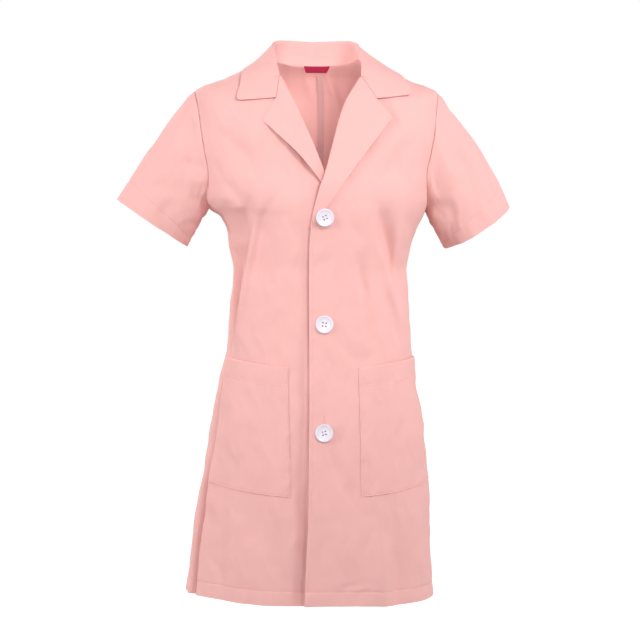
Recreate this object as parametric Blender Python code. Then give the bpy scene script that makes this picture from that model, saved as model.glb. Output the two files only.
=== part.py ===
"""Short-sleeve lab coat with notched lapels, three buttons and two patch pockets.

The coat is open and hollow, as when worn. Metres, +Z up, the front towards -Y and the
wearer's left towards +X. The origin is the middle of the neck base, level with the
neck ends of the shoulder seams. An angle runs round the body from the middle of the
front, and a level is the height of a ring of cloth at the wearer's sides.
"""
import math

import bmesh
import bpy
import numpy as np
from mathutils import Matrix, Vector

LEFT = 1
RIGHT = -1
SIDE_NAMES = {LEFT: "left", RIGHT: "right"}

CLOTH = 0.0016
SEAM = 0.0003
STEP = 0.0005
TURN = 0.004
HALVINGS = 24

# Rings of the body, from the hem to the neck
FORM_COLUMNS = (
    "level", "front_drop", "back_drop", "half_width", "front_depth", "back_depth",
    "middle_x", "side_x", "squareness", "front_rise", "left_drop")
FORM_ROWS = (
    (-0.845, 0.009, 0.004, 0.1960, 0.150, 0.146, -0.004, -0.0104, 0.94, 2.0, 0.010),
    (-0.770, 0.014, 0.004, 0.1904, 0.146, 0.140, -0.001, -0.0080, 0.93, 2.0, 0.008),
    (-0.706, 0.020, 0.004, 0.1848, 0.142, 0.135, 0.002, -0.0040, 0.92, 2.0, 0.005),
    (-0.642, 0.023, 0.003, 0.1760, 0.137, 0.129, 0.003, -0.0016, 0.90, 2.0, 0.002),
    (-0.578, 0.021, 0.002, 0.1672, 0.131, 0.122, 0.004, 0.0008, 0.88, 2.0, 0.000),
    (-0.514, 0.019, 0.001, 0.1568, 0.124, 0.114, 0.005, 0.0016, 0.87, 2.0, 0.000),
    (-0.450, 0.016, 0.000, 0.1464, 0.118, 0.106, 0.005, 0.0056, 0.86, 2.0, 0.000),
    (-0.386, 0.012, 0.000, 0.1416, 0.115, 0.098, 0.005, 0.0056, 0.86, 2.0, 0.000),
    (-0.338, 0.009, 0.000, 0.1384, 0.115, 0.094, 0.005, 0.0056, 0.86, 2.0, 0.000),
    (-0.303, 0.007, 0.000, 0.1448, 0.119, 0.097, 0.005, 0.0056, 0.86, 2.0, 0.000),
    (-0.275, 0.006, 0.000, 0.1510, 0.123, 0.100, 0.006, 0.0088, 0.85, 1.9, 0.000),
    (-0.255, 0.006, 0.000, 0.1600, 0.126, 0.103, 0.006, 0.0090, 0.84, 1.8, 0.000),
    (-0.240, 0.007, 0.000, 0.1720, 0.127, 0.105, 0.006, 0.0020, 0.82, 1.7, 0.000),
    (-0.226, 0.009, 0.000, 0.1790, 0.127, 0.107, 0.006, -0.0010, 0.80, 1.6, 0.000),
    (-0.200, 0.014, 0.000, 0.1830, 0.125, 0.110, 0.007, -0.0020, 0.78, 1.5, 0.000),
    (-0.178, 0.022, 0.000, 0.1870, 0.122, 0.111, 0.007, -0.0030, 0.77, 1.4, 0.000),
    (-0.150, 0.032, 0.000, 0.1950, 0.118, 0.111, 0.008, -0.0030, 0.76, 1.3, 0.000),
    (-0.114, 0.046, 0.001, 0.1990, 0.113, 0.109, 0.009, -0.0020, 0.75, 1.2, 0.000),
    (-0.080, 0.062, 0.005, 0.1970, 0.109, 0.105, 0.009, -0.0010, 0.77, 1.2, 0.000),
    (-0.055, 0.075, 0.006, 0.1940, 0.105, 0.100, 0.009, 0.0000, 0.80, 1.2, 0.000),
    (-0.040, 0.072, 0.003, 0.1610, 0.099, 0.093, 0.008, 0.0000, 0.80, 1.2, 0.000),
    (-0.020, 0.070, 0.002, 0.1145, 0.088, 0.080, 0.006, 0.0000, 0.80, 1.2, 0.000),
    (-0.010, 0.069, 0.003, 0.0915, 0.080, 0.070, 0.004, 0.0000, 0.80, 1.2, 0.000),
    (0.000, 0.070, 0.005, 0.0680, 0.068, 0.058, 0.002, 0.0000, 0.80, 1.2, 0.000),
    (0.012, 0.070, 0.007, 0.0480, 0.056, 0.044, 0.001, 0.0000, 0.80, 1.2, 0.000),
)
BACK_RISE = 2.0
SHOULDER_FORM_LEVEL = -0.200

# Large soft folds: the angle and level of both ends, half width in degrees, height
FOLD_COLUMNS = ("top_angle", "top_level", "low_angle", "low_level", "half_width", "height")
FOLD_STEEPNESS = 1.4
FOLD_TOP_FADE = 0.35
FOLD_LOW_FADE = 0.40
FOLD_ROWS = (
    (-35, -0.200, -52, -0.370, 7.5, -0.0090),
    (-44, -0.190, -66, -0.500, 7.5, 0.0080),
    (-24, -0.210, -34, -0.380, 6.5, -0.0050),
    (30, -0.195, 46, -0.390, 7.5, -0.0090),
    (40, -0.190, 62, -0.500, 7.5, 0.0075),
    (20, -0.290, 27, -0.480, 6.5, -0.0040),
    (-30, -0.720, -22, -0.900, 8.0, 0.0040),
    (26, -0.700, 33, -0.900, 8.0, 0.0040),
    (150, -0.230, 140, -0.420, 8.0, -0.0050),
    (-152, -0.240, -143, -0.400, 8.0, -0.0050),
    (132, -0.640, 128, -0.900, 9.0, 0.0060),
    (-135, -0.620, -130, -0.900, 9.0, 0.0055),
    (168, -0.660, 164, -0.900, 8.0, 0.0040),
    (-165, -0.680, -162, -0.900, 8.0, 0.0040),
)

# Armholes and side seams
ARMHOLE_TOP = -0.055
ARMHOLE_LOW = -0.240
ARMHOLE_HALF_ANGLE = 27.0
SIDE_SEAM_LEVELS = (-0.845, -0.668, -0.475, -0.350, -0.240)
SIDE_SEAM_ANGLES = {RIGHT: (69.0, 71.0, 75.0, 83.0, 90.0), LEFT: (88.0, 89.0, 90.0, 90.0, 90.0)}

# Front edges, measured from the line of the buttons towards the other front
EDGE_BEYOND_BUTTONS = 0.0235
EDGE_TO_ROLL = 0.012
# The roll lines, as seen from the front: heights and distances from the middle
ROLL_HEIGHTS = {LEFT: (-0.283, -0.271, -0.218, -0.198, -0.087, -0.040),
                RIGHT: (-0.245, -0.230, -0.215, -0.198, -0.110, -0.040)}
ROLL_DISTANCES = {LEFT: (-0.0168, -0.0150, -0.0013, 0.0068, 0.0403, 0.0680),
                  RIGHT: (-0.0260, -0.0200, -0.0135, -0.0068, 0.0300, 0.0625)}
NECK_END_LEVEL = -0.011
NECK_CURVE = 1.7
UNDERLAP = 0.0024
UNDERLAP_START = 0.046
UNDERLAP_SLOPE = 0.018
OVERLAP_LIFT = 0.0012
OVERLAP_SLOPE = 0.022
LAPEL_CROSSING_LIFT = 0.0060
LAPEL_CROSSING_HEIGHT = -0.205
LAPEL_CROSSING_REACH = 0.050

# Lapels, as seen from the front: how far out and how high
LAPEL_COLUMNS = ("low_end", "tip_x", "tip_z", "notch_x", "notch_z", "edge_bow", "edge_lift")
LAPEL_LOW_WIDTH = 0.006
LAPEL_ROWS = {LEFT: (-0.277, 0.1120, -0.1065, 0.0887, -0.0748, -0.003, 0.0010),
              RIGHT: (-0.221, 0.0914, -0.1090, 0.0688, -0.0745, -0.008, 0.0060)}
ROLL_RADIUS = 0.0024
FLAT_ROLL_RADIUS = 0.0012
FLAT_ROLL_SHARE = 0.12
ROLL_OPENING_SHARE = 0.35

# Collar, from the middle of the back to its front edge. Folds and edges give X, Y and Z
# or the height above the body, and each lean moves a point of both sides to the left.
# The right point reaches further forward, and so lower, than the left one
COLLAR_COLUMNS = ("way", "fold_x", "fold_y", "fold_z", "fold_lean",
                  "edge_x", "edge_y", "edge_rise", "edge_lean", "right_forward")
COLLAR_ROWS = (
    (0.000, 0.0000, 0.062, 0.0350, 0.000, 0.0000, 0.086, 0.0070, 0.000, 0.000),
    (0.153, 0.0350, 0.054, 0.0355, 0.000, 0.0500, 0.080, 0.0065, 0.001, 0.000),
    (0.275, 0.0560, 0.034, 0.0330, 0.000, 0.0880, 0.052, 0.0045, 0.003, 0.000),
    (0.394, 0.0665, 0.006, 0.0250, -0.001, 0.1150, 0.010, 0.0036, 0.006, 0.000),
    (0.542, 0.0690, -0.022, 0.0095, 0.000, 0.1225, -0.022, 0.0038, 0.007, 0.000),
    (0.690, 0.0685, -0.046, -0.0150, 0.002, 0.1290, -0.050, 0.0055, 0.008, 0.001),
    (0.810, 0.0660, -0.064, -0.0390, 0.003, 0.1320, -0.063, 0.0060, 0.009, 0.003),
    (1.000, 0.0787, -0.085, -0.0747, 0.010, 0.1372, -0.076, 0.0060, 0.0064, 0.008),
)
COLLAR_SHOULDER = 0.394
COLLAR_NECK_END = 0.810
COLLAR_JOIN = 0.05
STAND_END = 0.600
COLLAR_FOLD_RADIUS = 0.0026
LEAST_RADIUS = 0.0001
COLLAR_CREST = -0.0020
COLLAR_LEAF_CLEAR = 0.0034
STAND_GAP = 0.0008
STAND_TOP_GAP = 0.0014

# Sleeves: the outer and inner ends of each cuff, seen from the front
CUFF_COLUMNS = ("outer_x", "outer_z", "inner_x", "inner_z")
CUFFS = {RIGHT: (0.3160, -0.2261, 0.2062, -0.2994), LEFT: (0.3136, -0.2331, 0.2074, -0.2999)}
CUFF_BACK = 0.018
CUFF_HALF_DEPTH = 0.049
CUFF_FRONT_DROP = {RIGHT: 0.004, LEFT: 0.012}
CUFF_ROUNDNESS = 0.92
SLEEVE_SHARES = (0.0, 0.06, 0.2, 0.4, 0.6, 0.8, 1.0)
SLEEVE_BULGE = {RIGHT: 0.007, LEFT: 0.010}

# Pockets
POCKET_TOP = -0.475
POCKET_LOW = -0.668
POCKET_INNER_COLUMN = 4

# Buttons
BUTTONS = (("button_top", 0.0050, -0.2610, 0.0036),
           ("button_middle", 0.0050, -0.4252, 0.0006),
           ("button_low", 0.0036, -0.5916, 0.0006))
BUTTON_RADIUS = 0.014
BUTTON_THICKNESS = 0.0032
BUTTON_HOLE_RADIUS = 0.0011
BUTTON_HOLE_PLACE = 0.0024

# Neck label
LABEL_TOP_WIDTH = 0.043
LABEL_LOW_WIDTH = 0.034
LABEL_HEIGHT = 0.009
LABEL_THICKNESS = 0.0008
LABEL_GAP = 0.0009
LABEL_X = 0.005
LABEL_SEAM = 0.0005

# Rows and columns of the panels
LOWER_LEVELS = (-0.845, -0.800, -0.750, -0.706, -0.668, -0.620, -0.571, -0.523, -0.475,
                -0.440, -0.405, -0.375, -0.345, -0.318, -0.294, -0.272, -0.255)
ARMHOLE_STEPS = 12
SHOULDER_STEPS = 4
FRONT_SHARES = (0.0, 0.06, 0.125, 0.195, 0.27, 0.34, 0.41, 0.48, 0.55, 0.62, 0.69, 0.76,
                0.83, 0.90, 0.95, 1.0)
BACK_COLUMNS = 13

COLOURS = {
    "pink_cloth": ((0.79, 0.42, 0.40), 0.80),
    "white_button": ((0.90, 0.87, 0.90), 0.30),
    "crimson_label": ((0.45, 0.03, 0.09), 0.70),
}


def clear_scene():
    for thing in list(bpy.data.objects):
        bpy.data.objects.remove(thing, do_unlink=True)


def material(name):
    """A plain material in one of the coat's colours, made once."""
    made = bpy.data.materials.get(name)
    if made is None:
        colour, roughness = COLOURS[name]
        made = bpy.data.materials.new(name)
        made.use_nodes = True
        shader = made.node_tree.nodes["Principled BSDF"]
        shader.inputs["Base Color"].default_value = (*colour, 1.0)
        shader.inputs["Roughness"].default_value = roughness
        shader.inputs["Metallic"].default_value = 0.0
    return made


def steady_curve(places, values):
    """A smooth curve through the values that never runs past them."""
    places = np.asarray(places, dtype=float)
    values = np.asarray(values, dtype=float)
    gaps = np.diff(places)
    slopes = np.diff(values) / gaps
    bends = np.zeros(len(places))
    bends[0] = slopes[0]
    bends[-1] = slopes[-1]
    for i in range(1, len(places) - 1):
        if slopes[i - 1] * slopes[i] > 0:
            bends[i] = 2 * slopes[i - 1] * slopes[i] / (slopes[i - 1] + slopes[i])

    def at(place):
        place = np.clip(place, places[0], places[-1])
        i = np.clip(np.searchsorted(places, place, side="right") - 1, 0, len(gaps) - 1)
        t = (place - places[i]) / gaps[i]
        from_values = (1 + 2 * t) * (1 - t) ** 2 * values[i] + t * t * (3 - 2 * t) * values[i + 1]
        from_bends = t * (1 - t) ** 2 * bends[i] + t * t * (t - 1) * bends[i + 1]
        return from_values + gaps[i] * from_bends

    return at


def table_curves(columns, rows):
    """One smooth curve for each named column, along the first column."""
    places = [row[0] for row in rows]
    return {name: steady_curve(places, [row[i] for row in rows])
            for i, name in enumerate(columns) if i > 0}


FORM = table_curves(FORM_COLUMNS, FORM_ROWS)
COLLAR = table_curves(COLLAR_COLUMNS, COLLAR_ROWS)
SIDE_SEAM = {side: steady_curve(SIDE_SEAM_LEVELS, SIDE_SEAM_ANGLES[side])
             for side in (LEFT, RIGHT)}
ROLL_LINE = {side: steady_curve(ROLL_HEIGHTS[side], ROLL_DISTANCES[side])
             for side in (LEFT, RIGHT)}
LOW_LEVEL = FORM_ROWS[0][0]
HIGH_LEVEL = FORM_ROWS[-1][0]


def smooth(t):
    """Ease from 0 to 1."""
    t = np.clip(t, 0.0, 1.0)
    return t * t * (3 - 2 * t)


def stacked(x, y, z):
    return np.stack(np.broadcast_arrays(x, y, z), axis=-1)


def unit(vectors):
    return vectors / np.linalg.norm(vectors, axis=-1, keepdims=True)


def fold_height(angle, level):
    """How far the folds stand out, or in, at an angle and a level."""
    degrees = np.degrees(angle)
    total = np.zeros(np.broadcast(angle, level).shape)
    for row in FOLD_ROWS:
        fold = dict(zip(FOLD_COLUMNS, row))
        along = (level - fold["top_level"]) / (fold["low_level"] - fold["top_level"])
        middle = fold["top_angle"] + (fold["low_angle"] - fold["top_angle"]) * along
        across = np.clip(np.abs(degrees - middle) / fold["half_width"], 0, 2)
        fade = smooth(along / FOLD_TOP_FADE) * smooth((1 - along) / FOLD_LOW_FADE)
        total = total + fold["height"] * fade * np.exp(-across ** 2 * FOLD_STEEPNESS)
    return total


def ring_point(angle, level):
    """A point of the body's ring at a level, with its folds."""
    sine = np.sin(angle)
    cosine = np.cos(angle)
    side = np.abs(sine)
    front = cosine > 0
    power = FORM["squareness"](level)
    depth = np.where(front, FORM["front_depth"](level), FORM["back_depth"](level))
    drop = np.where(front, FORM["front_drop"](level), FORM["back_drop"](level))
    rise = np.where(front, FORM["front_rise"](level), BACK_RISE)
    lean = FORM["middle_x"](level) * (1 - side ** 2) + FORM["side_x"](level) * side ** 2
    x = lean + FORM["half_width"](level) * np.sign(sine) * side ** power
    y = -np.sign(cosine) * depth * np.abs(cosine) ** power
    z = level - drop * (1 - side ** rise) - FORM["left_drop"](level) * smooth(sine)
    out = fold_height(angle, level)
    return stacked(x + out * sine, y - out * cosine, z)


def out_of_form(angle, level):
    """The direction straight out of the body's surface."""
    round_it = ring_point(angle + TURN, level) - ring_point(angle - TURN, level)
    up_it = ring_point(angle, level + STEP) - ring_point(angle, level - STEP)
    return unit(np.cross(round_it, up_it))


def on_form(angle, level, out=0.0):
    """A point on the body's surface, or some way out from it."""
    out = np.asarray(out, dtype=float)[..., None]
    return ring_point(angle, level) + out * out_of_form(angle, level)


def halving(low, high, too_low):
    """The places between low and high where too_low turns false."""
    low = np.array(low, dtype=float)
    high = np.array(high, dtype=float)
    for _ in range(HALVINGS):
        middle = (low + high) / 2
        short = too_low(middle)
        low = np.where(short, middle, low)
        high = np.where(short, high, middle)
    return (low + high) / 2


def front_place(x, z):
    """The angle and level of the front's point that is seen at x and z."""
    x, z = np.broadcast_arrays(np.asarray(x, dtype=float), np.asarray(z, dtype=float))
    right_angle = np.full(x.shape, math.pi / 2)

    def angle_at(level):
        return halving(-right_angle, right_angle, lambda a: ring_point(a, level)[..., 0] < x)

    level = halving(np.full(x.shape, LOW_LEVEL), np.full(x.shape, HIGH_LEVEL),
                    lambda h: ring_point(angle_at(h), h)[..., 2] < z)
    return angle_at(level), level


def body_height(x, y):
    """The height of the shoulders' surface over a point of the plan."""
    x, y = np.broadcast_arrays(np.asarray(x, dtype=float), np.asarray(y, dtype=float))

    def ring_shape(level):
        depth = np.where(y < 0, FORM["front_depth"](level), FORM["back_depth"](level))
        power = 2 / FORM["squareness"](level)
        lean = FORM["middle_x"](level) / 2
        across = np.abs(x - lean) / FORM["half_width"](level)
        return across ** power, (np.abs(y) / depth) ** power

    level = halving(np.full(x.shape, SHOULDER_FORM_LEVEL), np.full(x.shape, HIGH_LEVEL),
                    lambda h: sum(ring_shape(h)) < 1)
    across, along = ring_shape(level)
    angle = np.arctan2(np.sqrt(across), np.sqrt(along))
    angle = np.where(y < 0, angle, math.pi - angle)
    return ring_point(angle, level)[..., 2]


def front_edge_angle(side, level):
    """The angle of a front's free edge, or of its roll line above the break."""
    break_height = ROLL_HEIGHTS[side][0]

    def short_of_edge(angle):
        point = ring_point(side * angle, level)
        x = side * point[..., 0]
        z = point[..., 2]
        edge = side * FORM["middle_x"](level) - EDGE_BEYOND_BUTTONS
        roll = ROLL_LINE[side](z)
        joined = smooth(0.5 + (z - break_height) / EDGE_TO_ROLL)
        return x < edge + (roll - edge) * joined

    level = np.asarray(level, dtype=float)
    past_middle = np.full(level.shape, -math.pi / 4)
    return halving(past_middle, np.full(level.shape, math.pi / 2), short_of_edge)


def side_edge_angle(side, level, back):
    """The angle of the side seam, the armhole's edge or the shoulder seam."""
    middle = (ARMHOLE_TOP + ARMHOLE_LOW) / 2
    half = (ARMHOLE_TOP - ARMHOLE_LOW) / 2
    height = np.clip((level - middle) / half, -1, 1)
    away = math.radians(ARMHOLE_HALF_ANGLE) * np.sqrt(1 - height ** 2)
    seam = np.radians(np.where(level > ARMHOLE_LOW, 90.0, SIDE_SEAM[side](level)))
    return seam + away * (1 if back else -1)


def front_out(side, angle, level):
    """How far a front's outer face stands out, where the two fronts lap."""
    point = ring_point(side * angle, level)
    x = side * (point[..., 0] - FORM["middle_x"](level))
    z = point[..., 2]
    if side == RIGHT:
        return -UNDERLAP * smooth((UNDERLAP_START - x) / UNDERLAP_SLOPE)
    crossing = np.hypot(x, z - LAPEL_CROSSING_HEIGHT) / LAPEL_CROSSING_REACH
    edge = OVERLAP_LIFT * smooth(-x / OVERLAP_SLOPE)
    return edge + LAPEL_CROSSING_LIFT * smooth(1 - crossing)


def new_object(name, mesh, colour):
    """Keep a bmesh as a named object, its faces outwards and smooth."""
    bmesh.ops.recalc_face_normals(mesh, faces=mesh.faces[:])
    data = bpy.data.meshes.new(name)
    mesh.to_mesh(data)
    mesh.free()
    data.shade_smooth()
    data.set_sharp_from_angle(angle=math.radians(40))
    data.materials.append(material(colour))
    made = bpy.data.objects.new(name, data)
    bpy.context.scene.collection.objects.link(made)
    return made


def sheet(name, outer, inner, colour="pink_cloth"):
    """A closed wall of cloth from a grid with its outer and its inner points."""
    rows, columns = outer.shape[:2]
    mesh = bmesh.new()
    bmesh.ops.create_grid(mesh, x_segments=columns - 1, y_segments=rows - 1, size=0.5)
    bmesh.ops.triangulate(mesh, faces=mesh.faces[:], quad_method="FIXED")
    pushed = bmesh.ops.extrude_face_region(mesh, geom=mesh.faces[:])
    raised = {item for item in pushed["geom"] if isinstance(item, bmesh.types.BMVert)}
    for vertex in mesh.verts:
        column = round((vertex.co.x + 0.5) * (columns - 1))
        row = round((vertex.co.y + 0.5) * (rows - 1))
        points = outer if vertex in raised else inner
        vertex.co = points[row, column]
    return new_object(name, mesh, colour)


def tube(name, rings, colour="pink_cloth"):
    """A closed tubular wall through its outer rings and back up its inner ones."""
    mesh = bmesh.new()
    count = len(rings[0])
    bmesh.ops.create_circle(mesh, cap_ends=False, radius=1.0, segments=count)
    edges = mesh.edges[:]
    vertices = mesh.verts[:]
    first_edges = edges
    for i, ring in enumerate(rings):
        if i > 0:
            pushed = bmesh.ops.extrude_edge_only(mesh, edges=edges)
            edges = [g for g in pushed["geom"] if isinstance(g, bmesh.types.BMEdge)]
            fresh = {g for g in pushed["geom"] if isinstance(g, bmesh.types.BMVert)}
            vertices = [next(e.other_vert(v) for e in v.link_edges if e.other_vert(v) in fresh)
                        for v in vertices]
        for vertex, place in zip(vertices, ring):
            vertex.co = place
    bmesh.ops.bridge_loops(mesh, edges=first_edges + edges)
    bmesh.ops.triangulate(mesh, faces=mesh.faces[:], quad_method="FIXED")
    return new_object(name, mesh, colour)


def middle_wall(middle, thickness=CLOTH, closed=False):
    """Outer and inner points on both sides of a grid of middle points."""
    if closed:
        across = np.roll(middle, -1, axis=1) - np.roll(middle, 1, axis=1)
    else:
        across = np.gradient(middle, axis=1)
    along = np.gradient(middle, axis=0)
    away = unit(np.cross(across, along)) * thickness / 2
    return middle + away, middle - away


def panel_levels():
    """The levels of a panel's rows up to the shoulder tip."""
    middle = (ARMHOLE_TOP + ARMHOLE_LOW) / 2
    half = (ARMHOLE_TOP - ARMHOLE_LOW) / 2
    turns = np.linspace(-math.pi / 2, math.pi / 2, ARMHOLE_STEPS + 1)
    return np.concatenate([LOWER_LEVELS, middle + half * np.sin(turns)])


def inset(edge, other, level, sign):
    """Move an edge's angle half a seam gap towards the panel's other edge."""
    rate = np.linalg.norm(ring_point(edge + TURN, level) - ring_point(edge - TURN, level),
                          axis=-1) / (2 * TURN)
    return edge + sign * np.minimum(0.5 * SEAM / rate, np.abs(other - edge) / 4)


def front_grid(side):
    """Angles (from the front, towards the side) and levels of a front panel's points."""
    shares = np.array(FRONT_SHARES)
    rows = []
    for level in panel_levels():
        levels = np.full(shares.shape, level)
        near = front_edge_angle(side, levels)
        far = side_edge_angle(side, levels, back=False)
        far = inset(far, near, levels, -1)
        rows.append((near + (far - near) * shares, levels))
    for step in range(1, SHOULDER_STEPS + 1):
        share = step / SHOULDER_STEPS
        top = NECK_END_LEVEL * (1 - shares) ** NECK_CURVE
        levels = ARMHOLE_TOP + (top - ARMHOLE_TOP) * share
        near = front_edge_angle(side, levels)
        far = np.full(shares.shape, math.pi / 2)
        far = inset(far, near, levels, -1)
        rows.append((near + (far - near) * shares, levels))
    return np.array([row[0] for row in rows]), np.array([row[1] for row in rows])


def back_grid(side):
    """Angles (from the front, towards the side) and levels of a back panel's points."""
    shares = np.linspace(0, 1, BACK_COLUMNS)
    levels = np.concatenate([panel_levels(),
                             ARMHOLE_TOP * (1 - np.arange(1, SHOULDER_STEPS + 1) / SHOULDER_STEPS)])
    levels = np.repeat(levels[:, None], BACK_COLUMNS, axis=1)
    near = side_edge_angle(side, levels, back=True)
    far = np.full(levels.shape, math.pi)
    near_in = inset(near, far, levels, 1)
    far_in = inset(far, near, levels, -1)
    return near_in + (far_in - near_in) * shares, levels


def make_front(side):
    angles, levels = front_grid(side)
    out = front_out(side, angles, levels)
    outer = on_form(side * angles, levels, out)
    inner = on_form(side * angles, levels, out - CLOTH)
    return sheet("front_" + SIDE_NAMES[side], outer, inner)


def make_back(side):
    angles, levels = back_grid(side)
    outer = on_form(side * angles, levels)
    inner = on_form(side * angles, levels, -CLOTH)
    return sheet("back_" + SIDE_NAMES[side], outer, inner)


def make_pocket(side):
    """A patch on the front's own points, moved out."""
    angles, levels = front_grid(side)
    rows = [i for i, level in enumerate(levels[:, 0]) if POCKET_LOW <= level <= POCKET_TOP]
    part = (slice(rows[0], rows[-1] + 1), slice(POCKET_INNER_COLUMN, None))
    angles = angles[part]
    levels = levels[part]
    under = on_form(side * angles, levels, SEAM)
    outer = on_form(side * angles, levels, SEAM + CLOTH)
    return sheet("pocket_" + SIDE_NAMES[side], outer, under)


def arm_loop(side, count):
    """The armhole's edge, from its top round by the front, with its directions."""
    turns = np.linspace(0, 2 * math.pi, count, endpoint=False)
    middle = (ARMHOLE_TOP + ARMHOLE_LOW) / 2
    half = (ARMHOLE_TOP - ARMHOLE_LOW) / 2
    level = middle + half * np.cos(turns)
    angle = math.pi / 2 - math.radians(ARMHOLE_HALF_ANGLE) * np.sin(turns)
    edge = on_form(side * angle, level)
    away = out_of_form(side * angle, level)
    along = np.roll(edge, -1, axis=0) - np.roll(edge, 1, axis=0)
    into = unit(np.cross(away, along))
    centre = edge.mean(axis=0)
    turned = np.sign(np.sum(into * (centre - edge), axis=-1, keepdims=True))
    return turns, edge, away, into * turned


def make_sleeve(side):
    """A tapered tube from the armhole down to the open cuff."""
    count = 2 * ARMHOLE_STEPS
    turns, edge, away, into = arm_loop(side, count)
    cuff = dict(zip(CUFF_COLUMNS, CUFFS[side]))
    outer_end = np.array((side * cuff["outer_x"], CUFF_BACK, cuff["outer_z"]))
    inner_end = np.array((side * cuff["inner_x"], CUFF_BACK, cuff["inner_z"]))
    middle = (outer_end + inner_end) / 2
    reach = (outer_end - inner_end) / 2
    forward = np.array((0.0, -CUFF_HALF_DEPTH, -CUFF_FRONT_DROP[side]))
    up_share = np.sign(np.cos(turns)) * np.abs(np.cos(turns)) ** CUFF_ROUNDNESS
    front_share = np.sign(np.sin(turns)) * np.abs(np.sin(turns)) ** CUFF_ROUNDNESS
    cuff_ring = middle + np.outer(up_share, reach) + np.outer(front_share, forward)
    upward = unit(reach)
    folded_back = np.clip(-np.sum(unit(cuff_ring - edge) * into, axis=-1, keepdims=True), 0, 1)
    start = edge + SEAM * into + SEAM * folded_back * away
    bulge = SLEEVE_BULGE[side] * np.clip(np.cos(turns), 0, 1)[:, None] * upward
    rings = np.array([start * (1 - s) + cuff_ring * s + bulge * 4 * s * (1 - s)
                      for s in SLEEVE_SHARES])
    raised, _ = middle_wall(rings, thickness=2.0, closed=True)
    outward = raised - rings
    if np.sum(outward[-1] * (rings[-1] - middle)) < 0:
        outward = -outward
    inner = rings - CLOTH * outward
    inner[0] = start - CLOTH * away
    return tube("sleeve_" + SIDE_NAMES[side], list(rings) + list(inner[::-1]))


def lapel_outline(side):
    """The lapel's low end, tip, notch and neck end as seen from the front."""
    shape = dict(zip(LAPEL_COLUMNS, LAPEL_ROWS[side]))
    neck_end = np.array((ROLL_DISTANCES[side][-1], ROLL_HEIGHTS[side][-1]))
    tip = np.array((shape["tip_x"], shape["tip_z"]))
    notch = np.array((shape["notch_x"], shape["notch_z"]))
    return shape, neck_end, notch, tip


def lapel_flat(side, along, across):
    """Where the turned-back part lies, seen from the front.

    along runs up the roll line, across from the roll line to the outer edge.
    """
    shape, neck_end, notch, tip = lapel_outline(side)
    low_z = shape["low_end"]
    low_x = float(ROLL_LINE[side](low_z))
    break_x = ROLL_DISTANCES[side][0]
    break_z = ROLL_HEIGHTS[side][0]
    roll_z = low_z + (neck_end[1] - low_z) * along
    roll = stacked(ROLL_LINE[side](roll_z), 0.0, roll_z)[..., (0, 2)]
    share_at_low = (low_z - break_z) / (tip[1] - break_z)
    share = share_at_low + (1 - share_at_low) * along
    bow = shape["edge_bow"] * np.sin(math.pi * share)
    outer = stacked(break_x + (tip[0] - break_x) * share + bow, 0.0,
                    break_z + (tip[1] - break_z) * share)[..., (0, 2)]
    first = np.linalg.norm(notch - neck_end)
    second = np.linalg.norm(tip - notch)
    bend = first / (first + second)
    top_x = np.interp(across, (0, bend, 1), (neck_end[0], notch[0], tip[0]))
    top_z = np.interp(across, (0, bend, 1), (neck_end[1], notch[1], tip[1]))
    top = stacked(top_x - 2 * SEAM, 0.0, top_z)[..., (0, 2)]
    low = stacked(low_x + LAPEL_LOW_WIDTH * across, 0.0, low_z)[..., (0, 2)]
    u = along[..., None]
    v = across[..., None]
    corners = ((1 - u) * (1 - v) * np.array((low_x, low_z))
               + (1 - u) * v * np.array((low_x + LAPEL_LOW_WIDTH, low_z))
               + u * (1 - v) * neck_end + u * v * tip)
    return (1 - v) * roll + v * outer + (1 - u) * low + u * top - corners


def lapel_roll_radius(along):
    """The roll is pressed flat at its low end and opens towards the neck."""
    opened = smooth((along - FLAT_ROLL_SHARE) / ROLL_OPENING_SHARE)
    return FLAT_ROLL_RADIUS + (ROLL_RADIUS - FLAT_ROLL_RADIUS) * opened


def lapel_middle(side, along, across):
    """Middle points of a lapel: across below 0 goes round the roll to the front's edge."""
    shape = dict(zip(LAPEL_COLUMNS, LAPEL_ROWS[side]))
    turned = np.clip(across, 0, None)
    seen = lapel_flat(side, along, turned)
    ahead = lapel_flat(side, np.clip(along + 0.01, 0, 1), np.zeros_like(along))
    behind = lapel_flat(side, np.clip(along - 0.01, 0, 1), np.zeros_like(along))
    up_roll = unit(ahead - behind)
    over_front = stacked(up_roll[..., 1], 0.0, -up_roll[..., 0])[..., (0, 2)]
    radius = lapel_roll_radius(along)
    rolled = np.clip(-across, 0, 1) * math.pi
    start = SEAM * 1.3
    seen = seen - over_front * (start + radius * np.sin(rolled))[..., None]
    angle, level = front_place(side * seen[..., 0], seen[..., 1])
    lift = shape["edge_lift"] * np.sin(math.pi * np.clip(along, 0, 1)) * turned ** 2
    out = front_out(side, side * angle, level) - CLOTH / 2 + radius * (1 + np.cos(rolled)) + lift
    return on_form(angle, level, out)


def make_lapel(side):
    along = np.concatenate([np.linspace(0, 0.9, 13), (0.95, 1.0)])
    across = np.array((-1.0, -0.75, -0.5, -0.25, 0.0, 0.12, 0.3, 0.5, 0.7, 0.85, 1.0))
    along, across = np.meshgrid(along, across, indexing="ij")
    outer, inner = middle_wall(lapel_middle(side, along, across))
    return sheet("lapel_" + SIDE_NAMES[side], outer, inner)


def collar_fold(side, way):
    x = side * COLLAR["fold_x"](way) + COLLAR["fold_lean"](way)
    return stacked(x, COLLAR["fold_y"](way), COLLAR["fold_z"](way))


def collar_edge(side, way):
    x = side * COLLAR["edge_x"](way) + COLLAR["edge_lean"](way)
    forward = COLLAR["right_forward"](way) if side == RIGHT else 0.0
    y = COLLAR["edge_y"](way) - forward
    return stacked(x, y, body_height(x, y) + COLLAR["edge_rise"](way))


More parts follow.
